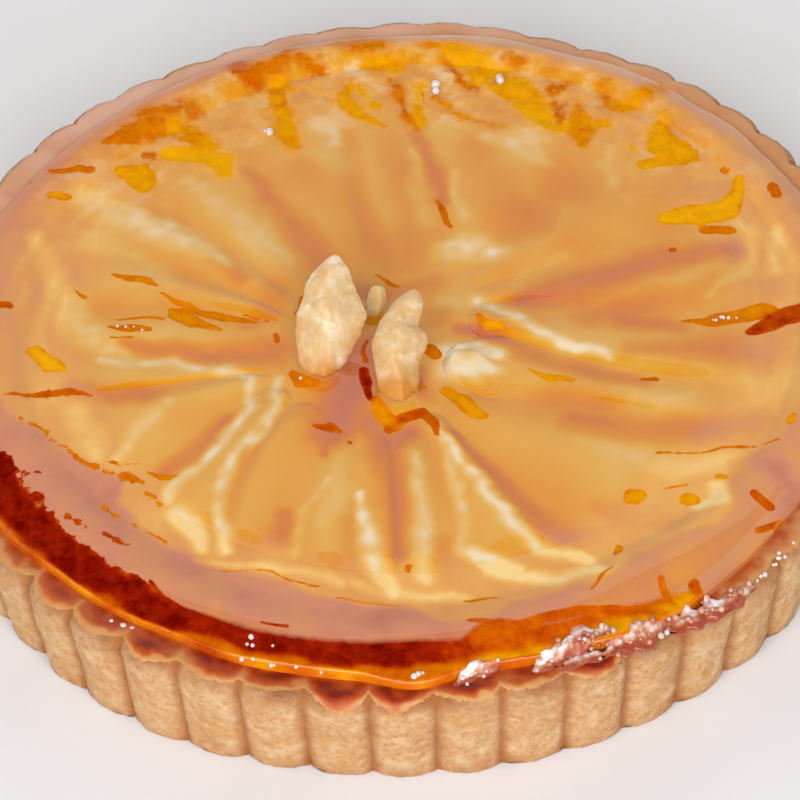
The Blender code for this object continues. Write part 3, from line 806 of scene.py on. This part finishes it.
BORDER_COLUMNS = 760
BORDER_ROWS = 104
BORDER_START = 14 * MM              # how far the border reaches in under the pears
LIP_SHARE = 0.9                     # where the lip starts to roll down, as a share of the rows
LIP_ROUND, LIP_DROP = 0.8 * MM, 0.65 * MM
LIP_STAND = 1.0 * MM                # how far the lip of the glaze stands over the filling
PLATEAU = 2.3 * MM                  # how far the glaze stands over the bed, round the pears
POOL_LEVEL = 2.1 * MM
# where the clear dark glaze of the near side begins: bearing in degrees, radius in millimetres
CLEAR_FROM = ((196, 124), (203, 110), (215, 110), (225, 112), (233, 110), (240, 112.5), (250, 112.5),
              (262, 112), (270, 112), (275.5, 113), (278, 110), (281, 109), (285.5, 113), (289.5, 114),
              (292.5, 113), (296, 116), (303, 119), (306, 124))


def steps_between(places, at):
    """The value at a place in a rising list of places and values."""
    for (x0, y0), (x1, y1) in zip(places, places[1:]):
        if x0 <= at <= x1:
            return y0 + (y1 - y0) * (at - x0) / (x1 - x0)
    return places[0][1] if at < places[0][0] else places[-1][1]


def bed_edge(bearing):
    """Distance from the tart's centre to the edge of the round of pears."""
    toward = polar(1, bearing)
    along = toward.dot(BED_CENTRE)
    across = BED_CENTRE.length_squared - along ** 2
    return along + math.sqrt(BED_RADIUS ** 2 - across) + 1.1 * MM * wander(bearing, 12, 5)


def lip_edge(bearing):
    """Where the glaze ends on the pastry rim, with runs over it on the near side."""
    spill = 3.0 * MM * near_bearing(bearing, 270, 7) + 2.2 * MM * near_bearing(bearing, 300, 14)
    spill -= 2.2 * MM * near_bearing(bearing, 125, 50)
    return CUP_RADIUS - 0.3 * MM + 0.8 * MM * wander(bearing, 36, 31) + spill


def border_height(bearing, radius):
    """Height of the border: it rises from the bed to a crest, and ends in the glaze's lip."""
    inner = bed_edge(bearing)
    share = (radius - inner) / (CUP_RADIUS - 0.3 * MM - inner)
    crest = CREST * (1 + 0.22 * wander(bearing, 14, 6))
    part = clamp((share - 0.06) / 0.94, 0.0, 0.93)
    lean = 0.8 + 0.45 * near_bearing(bearing, 255, 95)
    edge = FILL_LIP + tilt(bearing) - BED
    hill = edge * part + crest * math.sin(math.pi * part ** lean) ** 0.75
    blend = 0.35 * MM
    gap = (hill - PLATEAU) / blend
    height = PLATEAU + blend * math.log1p(math.exp(clamp(gap, -20, 20)))
    height += max(edge + LIP_STAND - height, 0.0) * smooth(0.86, 0.98, share)
    return BED + height


def froth_at(bearing, share):
    """How far the filling has boiled up into yellow lumps: the far side, round the pears' ends."""
    far = near_bearing(bearing, 88, 80) ** 0.6
    return far * smooth(0.72, 1.0, share)


def lumps_at(x, y):
    """Lumps of the boiled-up filling, in millimetres."""
    return 0.75 * grain(x, y, 0, 8 * MM, 4) + 0.4 * grain(x, y, 0, 4 * MM, 8)


# where the near side's glaze turns from amber to mauve: bearing in degrees, radius in millimetres
MAUVE_FROM = ((180, 112), (196, 105), (202, 97.5), (206, 95.5), (211, 92.5), (217, 88.5), (220, 94),
              (227, 96), (231, 96.5), (238, 96), (242, 97), (248, 94), (251, 95), (258, 98), (264, 99.5),
              (270, 100.5), (274, 107), (281, 107), (283, 104), (292, 105), (296, 106), (300, 105),
              (302, 104), (306, 105), (311, 108), (314, 110), (318, 108), (322, 102), (325, 99),
              (330, 106), (340, 110), (360, 112))


def bake_at(x, y):
    """How browned the filling is at a spot, from 0 to 1."""
    bearing = math.atan2(y, x) % TAU
    radius = math.hypot(x, y)
    inner = bed_edge(bearing)
    share = (radius - inner) / (CUP_RADIUS - inner)
    bake = 0.34 + 0.09 * smooth(0.1, 0.6, share) + 0.05 * smooth(0.55, 0.8, share)
    bake += 0.08 * near_bearing(bearing, 175, 50) * smooth(0.1, 0.5, share)
    degrees = math.degrees(bearing)
    mauve = radius / MM - steps_between(MAUVE_FROM, degrees) + 1.2 * grain(x, y, 0, 7 * MM, 27)
    near_bake = 0.33 - 0.05 * near_bearing(bearing, 315, 35)
    near_bake += (0.22 - 0.07 * near_bearing(bearing, 320, 42)) * smooth(-1.3, 1.7, mauve)
    bake += (near_bake - bake) * smooth(179, 197, degrees) * (1 - smooth(340, 358, degrees))
    bake -= 0.14 * near_bearing(bearing, *FAR_SIDE) * smooth(0.86, 0.96, share)
    bake += 0.2 * strongest(x, y, "deep") - 0.4 * strongest(x, y, "pale")
    streaks = noise.noise((bearing * 110 / 22, radius / (3.2 * MM), 5.0))
    sides = max(near_bearing(bearing, 165, 50), near_bearing(bearing, 5, 40))
    bake += 0.12 * streaks * (1 - smooth(0.35, 0.6, share)) * sides
    return clamp(bake + 0.10 * grain(x, y, 0, 14 * MM, 21))


def border_point(u, v):
    """The border from under the pears' ends, v 0, to its lip on the pastry, v 1."""
    bearing = TAU * u
    start = bed_edge(bearing) - BORDER_START
    lip = lip_edge(bearing)
    turn = max(0.0, v - LIP_SHARE) / (1 - LIP_SHARE) * math.pi / 2
    if v < LIP_SHARE:
        radius = start + (lip - LIP_ROUND - start) * v / LIP_SHARE
    else:
        radius = lip - LIP_ROUND * (1 - math.sin(turn))
    x, y = polar(radius, bearing)
    z = border_height(bearing, radius) - LIP_DROP * (1 - math.cos(turn))
    r_mm = radius / MM
    far = near_bearing(bearing, *FAR_SIDE)
    froth = froth_at(bearing, 1) * (1 - smooth(111, 117, r_mm))
    z += lumps_at(x, y) * MM * (0.08 + 1.1 * froth) * (1 - smooth(0.82, 0.9, v))
    z += 0.25 * MM * grain(x, y, 0, 5 * MM, 12) * smooth(0.84, 0.9, v)

    pool, tone = pool_at(x, y)
    degrees = math.degrees(bearing)
    clear = r_mm - steps_between(CLEAR_FROM, degrees)
    ragged = 1.2 + 4.0 * near_bearing(bearing, 212, 30) + 2.0 * far
    torn = near_bearing(bearing, 214, 34)
    clear += torn * (2.6 * grain(x, y, 0, 9 * MM, 33) + 1.8 * grain(x, y, 0, 3.5 * MM, 34))
    clear *= 1 - 0.8 * smooth(232, 248, degrees)
    if clear > -SOFT:
        # toward the lip the dark red glaze turns amber: a painted glow of light coming through the thick
        # lip
        glow = 118.0 - 1.4 * smooth(222, 245, degrees)
        amber = smooth(glow, glow + 3.6, r_mm + 2.0 * grain(x, y, 0, 8 * MM, 15))
        near_tone = 0.93 - 0.42 * amber - 0.30 * smooth(268, 280, degrees)
        share = smooth(-1.5, 1.5, clear - pool)
        pool, tone = max(pool, clear), tone + (near_tone - tone) * share
        ragged *= 1 - 0.8 * smooth(234, 242, degrees)
    pool, ragged = softened(pool, ragged, far)

    rail = 0.46 + 0.35 * grain(x, y, 0, 11 * MM, 52)
    tone += (rail - tone) * smooth(0.89, 0.93, v) * (1 - far)
    upright = 1 - smooth(0.88, 0.92, v)
    warm = smooth(104, 111, r_mm + 2 * grain(x, y, 0, 9 * MM, 44))
    warm *= 0.8 * near_bearing(bearing, 124, 50)
    # painted sheen on the far edge: the window's reflection, painted as a greyish tint
    far_sheen = 0.8 * far * smooth(113, 119, r_mm + 2 * grain(x, y, 0, 8 * MM, 46))
    return x, y, z, pool, clamp(tone), ragged, bake_at(x, y), froth, upright, warm, far_sheen


def filling(material):
    thing = shaped_grid("almond_border", BORDER_COLUMNS + 1, BORDER_ROWS + 1, border_point,
                        ("pool", "tone", "ragged", "bake", "froth", "level", "warm", "far_sheen"))
    weld(thing, outward=False)
    drop_skirt(thing, BED - 1.5 * MM)
    return finish_piece(thing, material, "browned_filling", "filling")


def centre_height(x, y):
    """Level of the glaze pooled between the pears, drawn up a little where pieces stand in it."""
    height = BED + POOL_LEVEL + 0.05 * MM * grain(x, y, 0, 16 * MM, 2)
    for foot, _, thickness, edges, _, _ in WEDGES.values():
        left, right = edges[1][1:]
        middle, half = 0.5 * (left + right), 0.5 * (right - left)
        away = math.hypot((x / MM - foot[0] - middle) / (half + 1.5),
                          (y / MM - foot[1] - 1.5) / (0.7 * thickness))
        height += 1.5 * MM * math.exp(-max(0.0, away - 0.7) / 0.3)
    return height


GLAZE_ROUND = 36 * MM               # radius of the middle round of the glaze, with most rows
ROUND_SHARE = 0.6
GLAZE_TUCK = 10 * MM                # how far short of the round of pears the glaze stops


def glaze_point(u, v):
    """The glaze from the middle of the fan, v 0, out under the pears to the border, v 1."""
    bearing = TAU * u
    radius = GLAZE_ROUND * min(v / ROUND_SHARE, 1.0)
    outer = fan_reach(bearing) - GLAZE_TUCK - GLAZE_ROUND
    radius += max(0.0, v - ROUND_SHARE) / (1 - ROUND_SHARE) * outer
    x, y = FAN_CENTRE + polar(radius, bearing)
    depth = depth_at(x, y, strongest(x, y, "deep"), strongest(x, y, "pale"))
    return x, y, centre_height(x, y), *pool_at(x, y), 0.8, clamp(depth)


def glaze_sheet(material):
    thing = shaped_grid("set_glaze", 241, 121, glaze_point,
                        ("pool", "tone", "ragged", "depth"))
    weld(thing, outward=False)
    drop_skirt(thing, BED + 0.2 * MM)
    return finish_piece(thing, material, "glaze")


# glaze that ran over the pastry rim

RUN_COLUMNS = 16                    # points across one flute
RUN_ROWS = 22


def lobe_at(turn, sharpness):
    """1 at the middle of a flute, falling to 0 between two, with turn counted in flutes."""
    return abs(math.sin(math.pi * (turn - math.floor(turn)))) ** sharpness


def run_end(bearing):
    """How far over the rim the glaze runs, as a share of the shell's outline."""
    lobe = lobe_at((bearing - FLUTE_PHASE) / TAU * FLUTES, 0.7)
    near = near_bearing(bearing, 262, 80)
    patchy = clamp(0.75 + 0.9 * wander(bearing, 37, 41))
    end = 0.835 + 0.02 * wander(bearing, 60, 13) - 0.02 * lobe + 0.009 * wander(bearing, 420, 14)
    return end - near * patchy * (0.10 * lobe + 0.05 * near_bearing(bearing, 262, 40) * lobe)


def run_point(u, v):
    """The film of glaze from the border, v 0, over the rim to where its runs stop, v 1."""
    end = run_end(FLUTE_PHASE + TAU * u)
    share = 1.0 - (1.0 - end) * v
    here = Vector(crust_point(u, share)[:3])
    ahead = Vector(crust_point(u + 0.0004, share)[:3]) - here
    down = Vector(crust_point(u, share - 0.012)[:3]) - here
    out = down.cross(ahead).normalized()
    if out.z < -0.2:
        out = -out
    thick = 0.36 * max(0.0, 1 - v ** 2) - 0.06
    thick *= 1 + 0.3 * grain(*here, 3 * MM, 17)
    x, y, z = here + out * thick * MM
    bearing = math.atan2(y, x)
    near = near_bearing(bearing, 262, 85)
    lobe = lobe_at(u * FLUTES, 0.8)
    mottle = grain(x, y, z, 3.2 * MM, 19)
    fade = 1 - smooth(0.40, 0.96, v + 0.25 * mottle)
    cap = near * lobe * smooth(0.12, 0.5, v) * (0.75 + 0.8 * mottle)
    tone = 0.10 + fade * (0.17 + 0.16 * near + 0.75 * max(cap, 0.0) + 0.06 * mottle)
    tone += 0.40 * near_bearing(bearing, 293, 11) * fade
    # painted sheen: the far side of the rim is tinted greyish pink where it reflects the window
    far_sheen = 0.9 * near_bearing(bearing, 112, 100) * clamp(0.75 + 0.6 * grain(x, y, z, 12 * MM, 23))
    return x, y, z, clamp(tone), far_sheen


def rim_glaze(material):
    thing = shaped_grid("rim_glaze", FLUTES * RUN_COLUMNS + 1, RUN_ROWS + 1, run_point,
                        ("tone", "far_sheen"))
    weld(thing, outward=False)
    return finish_piece(thing, material, "glaze")


# bubbles and froth

# bubbles that gather along a line, in millimetres: how many, radius, spread, then the line
# the lone bubbles are coloured near white, a painted highlight
BUBBLES = (
    (10, 0.60, 1.6, (84, -96), (90, -89), (93, -84)),
    (3, 0.70, 0.6, (-1, -122), (3, -122)),
    (4, 0.75, 0.6, (-73, -98), (-67, -102)),
    (3, 0.50, 2.0, (-46, -108), (-30, -112)),
    (2, 0.60, 0.2, (-39, -108), (-38.5, -108)),
    (6, 0.55, 0.5, (-43, -113), (-18, -119.5)),
    (7, 0.40, 0.8, (-75, 2.5), (-67, 1)),
    (8, 0.40, 0.7, (82, -6), (90, -5.5)),
    (2, 1.10, 0.4, (-35, 79.5), (-33.5, 79)),
    (3, 1.10, 0.4, (14, 93), (14.5, 96)),
    (2, 1.00, 0.3, (32.5, 96), (32.5, 98)),
    (3, 0.45, 0.5, (-26, -20), (-22, -21)),
    (22, 0.70, 2.6, (28, -119), (41, -112.5), (49, -110.5)),
    (40, 0.75, 3.2, (44, -115), (60, -109.5), (82, -98)),
    (9, 0.60, 1.4, (9, -122.5), (20, -118.5)),
)
# froth: half-width, height, then its line, in millimetres
FROTH = (
    (3.0, 1.1, (28, -120.5), (34, -116.5), (41, -112), (48, -110.5)),
    (2.2, 0.9, (33, -119.5), (40, -117.5), (46, -115.5)),
    (3.2, 1.3, (44, -116.5), (52, -113), (60, -109.5), (68, -105.5)),
    (3.6, 1.4, (58, -110.5), (67, -107), (76, -102.5), (83, -97)),
    (1.8, 1.0, (9, -123.5), (14, -120), (20, -118.5)),
    (0.8, 0.8, (-72, -101), (-68.5, -104.5), (-65, -106.5)),
)


def top_height(x, y):
    """Height of the filling or the glaze at a spot."""
    radius, bearing = math.hypot(x, y), math.atan2(y, x) % TAU
    if radius < bed_edge(bearing):
        return BED + POOL_LEVEL + 0.8 * MM
    lip = lip_edge(bearing)
    rim = RIM_HEIGHT + tilt(bearing) + 0.2 * MM
    past = smooth(-1, 1.5, (radius - lip) / MM)
    return rim + (border_height(bearing, min(radius, lip - MM)) - rim) * (1 - past)


def on_line(line, share):
    """A spot at a share of the way along a line, and the run of the line there."""
    along = share * (len(line) - 1)
    (x0, y0), (x1, y1) = line[int(along)], line[int(along) + 1]
    part = along - int(along)
    return x0 + (x1 - x0) * part, y0 + (y1 - y0) * part, Vector((x1 - x0, y1 - y0)).normalized()


def bubbles(material):
    """All the bubbles as one piece: those of a crowded line stand higher, with thicker walls; lone
    bubbles are near white, a painted glint.
    """
    rng = random.Random(7)
    thing = None
    thin = []
    for count, size, spread, *line in BUBBLES:
        crowded = count > 12
        for _ in range(count):
            x, y, _ = on_line(line, rng.random())
            x = (x + rng.gauss(0, spread * 0.5)) * MM
            y = (y + rng.gauss(0, spread * 0.5)) * MM
            radius = size * rng.uniform(0.6, 1.3) * MM
            lift = rng.uniform(0.1, 0.9) * MM if crowded else 0.0
            thin.append(rng.uniform(0.15, 0.75) if crowded else 0.8)
            spot = (x, y, top_height(x, y) + 0.1 * radius + lift)
            if thing is None:
                deselect()
            bpy.ops.mesh.primitive_ico_sphere_add(subdivisions=2, radius=radius, location=spot)
            if thing is None:
                thing = bpy.context.object
                thing.name = "glaze_bubbles"
                bpy.ops.object.transform_apply(location=True, rotation=False, scale=False)
                bpy.ops.object.mode_set(mode="EDIT")
    bpy.ops.object.mode_set(mode="OBJECT")
    each = len(thing.data.vertices) // len(thin)
    whites = [value for value in thin for _ in range(each)]
    thing.data.attributes.new("thin", "FLOAT", "POINT").data.foreach_set("value", whites)
    return finish_piece(thing, material, "glaze")


def froth_point(half_width, height, line, u, v):
    """A ridge of froth along a line: bubbles crowded together, whitest where they stand up and toward
    one side, a painted highlight.
    """
    x, y, run = on_line(line, min(u, 0.9999))
    across = 2 * v - 1
    ends = math.sqrt(max(0.0, math.sin(math.pi * (0.02 + 0.96 * u))))
    width = half_width * ends * (0.9 + 0.7 * noise.noise((x / 3, y / 3, 2 * across + height)))
    x = (x - run.y * across * width) * MM
    y = (y + run.x * across * width) * MM
    bump = 0.0
    for size, seed, weight in ((3.4, 4.0, 0.55), (1.5, 0.0, 0.45)):
        cell = min(noise.voronoi((x / (size * MM), y / (size * MM), seed))[0][0], 1.0)
        bump += weight * (1 - cell ** 2)
    dome = math.sqrt(1 - across ** 2)
    z = top_height(x, y) - 0.3 * MM + height * MM * dome * ends * (0.1 + bump)
    # whiter on the tops and toward one side of the ridge: painted highlight
    thin = smooth(0.35, 1.15, bump * dome + 0.4 * across + 0.3 * noise.noise((x * 200, y * 200, 2)))
    return x, y, z, thin


def froth(number, material):
    """One ridge of froth, with its points about a quarter of a millimetre apart."""
    half_width, height, *line = FROTH[number]
    length = sum(math.dist(a, b) for a, b in zip(line, line[1:]))
    thing = shaped_grid(f"froth_{number + 1}", int(length / 0.28), int(half_width / 0.13),
                        lambda u, v: froth_point(half_width, height, line, u, v), ("thin",))
    drop_skirt(thing, BED)
    return finish_piece(thing, material, "glaze")


# pears

SLICE_COLUMNS = 44
SLICE_ROWS = 90
END_CLEARANCE = 1.6 * MM
JOINT_START = 30 * MM


def fan_reach(bearing):
    """Distance from the fan's centre to the edge of the round of pears, along a bearing."""
    toward = polar(1, bearing)
    offset = BED_CENTRE - FAN_CENTRE
    along = toward.dot(offset)
    return along + math.sqrt(BED_RADIUS ** 2 - offset.length_squared + along ** 2)


def joint_bearing(number, along):
    """Bearing of the joint before a slice, a share of the way along it; joints curl inwards."""
    inner, outer, curl = FAN[number % len(FAN)][:3]
    turns = 360 * (number // len(FAN))
    return math.radians(outer + (inner - outer) * (1 - along) ** curl + turns)


def side_point(number, start, along, loss):
    """A point on a slice's side, along the joint before it."""
    bearing = joint_bearing(number, along)
    for _ in range(2):
        reach = fan_reach(bearing) - END_CLEARANCE
        radius = start + (reach - loss - start) * along
        bearing = joint_bearing(number, clamp((radius - JOINT_START) / (reach - JOINT_START)))
    return FAN_CENTRE + polar(radius, bearing)


def depth_at(x, y, deep, pale):
    """How deep the pear lies in the glaze, from 0 standing clear to 1 sunk."""
    depth = 0.62 + 0.28 * deep * (1 - 0.6 * clamp(pale)) - 0.42 * max(pale, 0.0) ** 1.6
    return depth + 0.10 * grain(x, y, 0, 24 * MM, 31)


def slice_point(number, along, across):
    """A point of a slice, from the fan's middle outwards and from one side to the other."""
    ridge, height, start_mm, lift = FAN[number][3:]
    edge = 1 / SLICE_COLUMNS
    tuck = 1 if across < 0.5 * edge else -1 if across > 1 - 0.5 * edge else 0
    across = clamp((across - edge) / (1 - 2 * edge))
    blunt = abs(2 * across - 1) ** 3
    start = (start_mm - 2) * MM + 3.0 * MM * blunt
    loss = 1.2 * MM * blunt + 0.8 * MM * noise.noise((number * 2.3, 5.4, 0))
    side_a = side_point(number, start, along, loss)
    side_b = side_point(number + 1, start, along, loss)
    x, y = side_a.lerp(side_b, across) + tuck * 0.5 * MM * (side_a - side_b).normalized()

    up = across / ridge if across < ridge else (1 - across) / (1 - ridge)
    hump = 0.5 - 0.5 * math.cos(math.pi * up)
    bearing = math.atan2(y, x) % TAU
    near = near_bearing(bearing, 268, 70)
    fade = smooth(0.62 + 0.2 * near, 1.0, along)
    swell = 1 + 0.25 * noise.noise((number * 4.7, along * 2.5, 3.3))
    crest = (0.5 + 0.34 * (height - 2.6)) * MM * swell * smooth(-0.1, 0.3, along)
    crest *= 1 - (0.85 - 0.35 * near) * fade
    peak = 0.7 * lift * MM * math.exp(-(along / 0.17) ** 2) * math.sin(math.pi * across) ** 0.7
    peak *= 1 + 0.6 * grain(x, y, 0, 5 * MM, 7) + 0.3 * grain(x, y, 0, 2.2 * MM, 3)
    peak *= smooth(0.0, 0.04, along)
    sunk = 0.55 * MM * (1 - smooth(0.0, 0.2, along)) * (1 - 0.6 * clamp(lift))
    rise = 0.15 * MM + crest * hump + peak - sunk
    froth = froth_at(bearing, along * 1.12)
    z = BED + PLATEAU + rise * (1 - smooth(0.84, 0.985, along)) - 0.5 * MM * smooth(0.95, 1.0, along)
    z += 0.05 * MM * grain(x, y, 0, 9 * MM, 1) + lumps_at(x, y) * MM * froth
    z -= abs(tuck) * 0.04 * MM

    pool, tone = pool_at(x, y)
    pale, deep = strongest(x, y, "pale"), strongest(x, y, "deep")
    far = near_bearing(bearing, *FAR_SIDE) * smooth(0.15, 0.5, along)
    pool, ragged = softened(pool, 0.9, far)
    pale *= 1 + 0.5 * grain(x, y, 0, 4 * MM, 13)
    depth = depth_at(x, y, deep, pale)
    # ridges paler: thinner glaze over them, and painted light on their tops
    depth -= 0.12 * hump * (1 - 0.5 * fade) * smooth(0.05, 0.4, along)
    browned = smooth(0.80, 0.96, along + 0.05 * grain(x, y, 0, 9 * MM, 6)) * (1 - 0.7 * pale)
    return x, y, z, pool, tone, ragged, clamp(depth), froth, bake_at(x, y), browned


def pear_slice(number, material):
    label = f"{number + 1:02d}"
    thing = shaped_grid(f"glazed_slice_{label}", SLICE_COLUMNS + 1, SLICE_ROWS + 1,
                        lambda u, v: slice_point(number, v, u),
                        ("pool", "tone", "ragged", "depth", "froth", "bake", "browned"))
    drop_skirt(thing, BED - 0.5 * MM)
    return finish_piece(thing, material, "glazed_pear", f"pear_slice_{label}")


# foot, tip and thickness of each chip of pear; its left and right edges at shares of its height;
# the shares between which its foot turns amber
WEDGES = {
    "pear_wedge_left": ((-17.5, -20.5, 31.9), (-14.5, 4.5, 54), 8, (
        (0.0, -7.0, 0.4), (0.1, -8.6, 1.6), (0.18, -9.4, 3.4), (0.27, -10.0, 4.6), (0.37, -10.3, 6.3),
        (0.48, -10.2, 7.3), (0.54, -9.9, 7.5), (0.60, -9.5, 6.6), (0.66, -9.2, 5.7), (0.76, -8.4, 4.2),
        (0.84, -7.0, 3.2), (0.91, -5.2, 2.1), (0.97, -3.4, 1.0), (1.0, -2.4, 0.6)),
        0.05, 0.24),
    "pear_wedge_right": ((-1.5, -31, 31.9), (4, -5.5, 50), 8.5, (
        (0.0, -3.2, 3.4), (0.12, -5.2, 5.2), (0.25, -6.3, 4.8), (0.37, -7.6, 4.3), (0.43, -8.4, 4.6),
        (0.48, -8.7, 5.2), (0.58, -8.1, 6.1), (0.65, -7.6, 5.0), (0.69, -7.2, 2.9), (0.74, -6.4, 3.0),
        (0.80, -5.4, 3.4), (0.88, -3.8, 3.5), (0.95, -1.9, 3.2), (1.0, -0.6, 2.2)),
        0.10, 0.46),
    "pear_nub": ((-6, 2, 32), (-4.5, 9, 38), 6, (
        (0.0, -3.0, 2.6), (0.3, -3.2, 2.6), (0.6, -2.9, 2.3), (0.8, -2.5, 1.9), (1.0, -1.8, 1.4)),
        -0.4, 0.4),
}


def wedge_point(foot, tip, thickness, edges, amber_low, amber_high, u, v):
    """A cut chip of pear: flat, creased down its front, with thin uneven edges."""
    foot, tip = Vector(foot) * MM, Vector(tip) * MM
    axis = (tip - foot).normalized()
    side = axis.cross(Vector((0, -1, 0.4))).normalized()
    front = side.cross(axis)
    turn = TAU * u
    across = math.cos(turn)
    left = steps_between([edge[:2] for edge in edges], v)
    right = steps_between([(edge[0], edge[2]) for edge in edges], v)
    widest = max(edge[2] - edge[1] for edge in edges)
    crease = 0.25 * math.sin(thickness + 4 * v) + 0.2 * noise.noise((thickness, 7 * v, 1))
    slope = abs(across - crease) / (1 + crease * (1 if across < crease else -1))
    deep = math.copysign(max(0.0, 1 - slope ** 1.3) ** 0.8, math.sin(turn))
    pole = math.sqrt(max(0.0, 1 - abs(2 * v - 1) ** 14))
    nick = 1 + 0.07 * noise.noise((across + widest, 0, 6 * v))
    nick += 0.05 * noise.noise((3 * across, 3, 22 * v))
    middle, half = 0.5 * (left + right), 0.5 * (right - left) * pole * nick
    v = v - 0.05 * (1 - smooth(0.0, 0.15, v))
    spot = foot + (tip - foot) * v + side * (middle + half * across) * MM
    spot += front * deep * 0.5 * thickness * MM * pole * (2 * half / widest) ** 0.8
    rough = 0.28 * grain(*spot, 4.5 * MM, 6) + 0.14 * grain(*spot, 1.5 * MM, 2)
    rough += 0.12 * noise.noise((spot.x / (1.6 * MM), 2.0 * v, 4.0))
    spot += front * rough * MM * pole
    # the edges turn amber low down: thin flesh there, and painted shade on the sides that turn away from
    # the light
    edge_amber_and_shade = 0.55 * smooth(0.62, 0.98, abs(across)) * (1 - smooth(0.40, 0.62, v))
    foot_amber = 1 - smooth(amber_low, amber_high, v + 0.08 * grain(*spot, 5 * MM, 3))
    return (*spot, clamp(max(edge_amber_and_shade, foot_amber)))


def wedge(name, material):
    sizes = WEDGES[name]
    thing = shaped_grid(f"bare_{name}", 97, 73, lambda u, v: wedge_point(*sizes, u, v), ("amber",))
    weld(thing)
    return finish_piece(thing, material, "bare_pear", name)


# studio

CAMERA_ELEVATION = math.radians(45.1)
CAMERA_ROLL = math.radians(-2.78)
CAMERA_DISTANCE = 6.58 * RIM_RADIUS
CAMERA_AIM = Vector((-0.004, 0.029, 0)) * RIM_RADIUS
CAMERA_LENS = 141.2


def camera():
    """A long lens that looks down on the near side, turned a little about its own axis."""
    back = Vector((0, -math.cos(CAMERA_ELEVATION), math.sin(CAMERA_ELEVATION)))
    right = Vector((1, 0, 0))
    up = back.cross(right)
    rolled_right = math.cos(CAMERA_ROLL) * right + math.sin(CAMERA_ROLL) * up
    rolled_up = back.cross(rolled_right)
    data = bpy.data.cameras.new("camera")
    data.lens = CAMERA_LENS
    data.sensor_width = 36.0
    thing = bpy.data.objects.new("camera", data)
    turn = Matrix((rolled_right, rolled_up, back)).transposed().to_4x4()
    thing.matrix_world = Matrix.Translation(CAMERA_AIM + CAMERA_DISTANCE * back) @ turn
    bpy.context.scene.collection.objects.link(thing)
    bpy.context.scene.camera = thing


def soft_light(name, bearing, elevation, distance, width, height, power, colour):
    """A rectangular soft light that faces the tart, at a bearing and an elevation in degrees."""
    data = bpy.data.lights.new(name, "AREA")
    data.shape = "RECTANGLE"
    data.size = width
    data.size_y = height
    data.energy = power
    data.color = linear(colour)[:3]
    thing = bpy.data.objects.new(name, data)
    up = math.radians(elevation)
    spot = Vector((*polar(distance * math.cos(up), math.radians(bearing)), distance * math.sin(up)))
    thing.location = spot
    thing.rotation_euler = (-spot).to_track_quat("-Z", "Y").to_euler()
    bpy.context.scene.collection.objects.link(thing)


def studio():
    """A grey dome that is dark overhead, a window behind, a fill in front, and a pale floor."""
    scene = bpy.context.scene
    scene.view_settings.view_transform = "Standard"
    world = bpy.data.worlds.new("studio")
    scene.world = world
    world.use_nodes = True
    tree = world.node_tree
    height = add(tree, "SeparateXYZ", {"Vector": add(tree, "TexCoord", out="Generated")}, out="Z")
    dome = add(tree, "ValToRGB", {0: height}, stops=(
        (0.0, "#B4B3B2"), (0.74, "#B0AFAE"), (0.88, "#181818")))
    wire(tree, tree.nodes["Background"], {"Color": dome, "Strength": 0.9})
    soft_light("window", 90, 33, 1.5, 3.6, 1.4, 15.5, "#FFF4EC")
    soft_light("front_fill", -96, 36, 1.5, 1.9, 1.2, 34, "#FFFBF7")
    soft_light("lamp_front", -70, 58, 1.6, 0.08, 0.08, 1.0, "#FFFFFF")

    deselect()
    bpy.ops.mesh.primitive_plane_add(size=8, location=(0, 0, 0))
    floor = bpy.context.object
    floor.name = "floor"
    material, tree, shader, place, _ = new_material("pale_floor")
    colour = add(tree, "ValToRGB", {0: add(tree, "TexNoise", pattern(place, 60, 2))}, stops=(
        (0.3, "#DADCE1"), (0.7, "#E0E1E6")))
    wire(tree, shader, {"Base Color": colour, "Roughness": 0.7})
    floor.data.materials.append(material)


def main():
    camera()
    studio()
    crust(shortcrust())
    filling(browned_almond())
    pear = glazed_pear()
    for number in range(len(FAN)):
        pear_slice(number, pear)
    glaze_sheet(pear)
    rim_glaze(caramel_glaze())
    foam = glaze_bubbles()
    bubbles(foam)
    for number in range(len(FROTH)):
        froth(number, foam)
    pale = bare_pear("bare_pear", "#C6A070", "#CCB288", "#D8CBB0", "#C9A466")
    # a lighter copy of the bare pear for the nub, which stands in the wedges' shadow: painted light
    lightened_pear = bare_pear("painted_light_pear", "#E8C084", "#F0CE96", "#F4DCB4", "#E8BC7C")
    wedge("pear_wedge_left", pale)
    wedge("pear_wedge_right", pale)
    wedge("pear_nub", lightened_pear)


main()
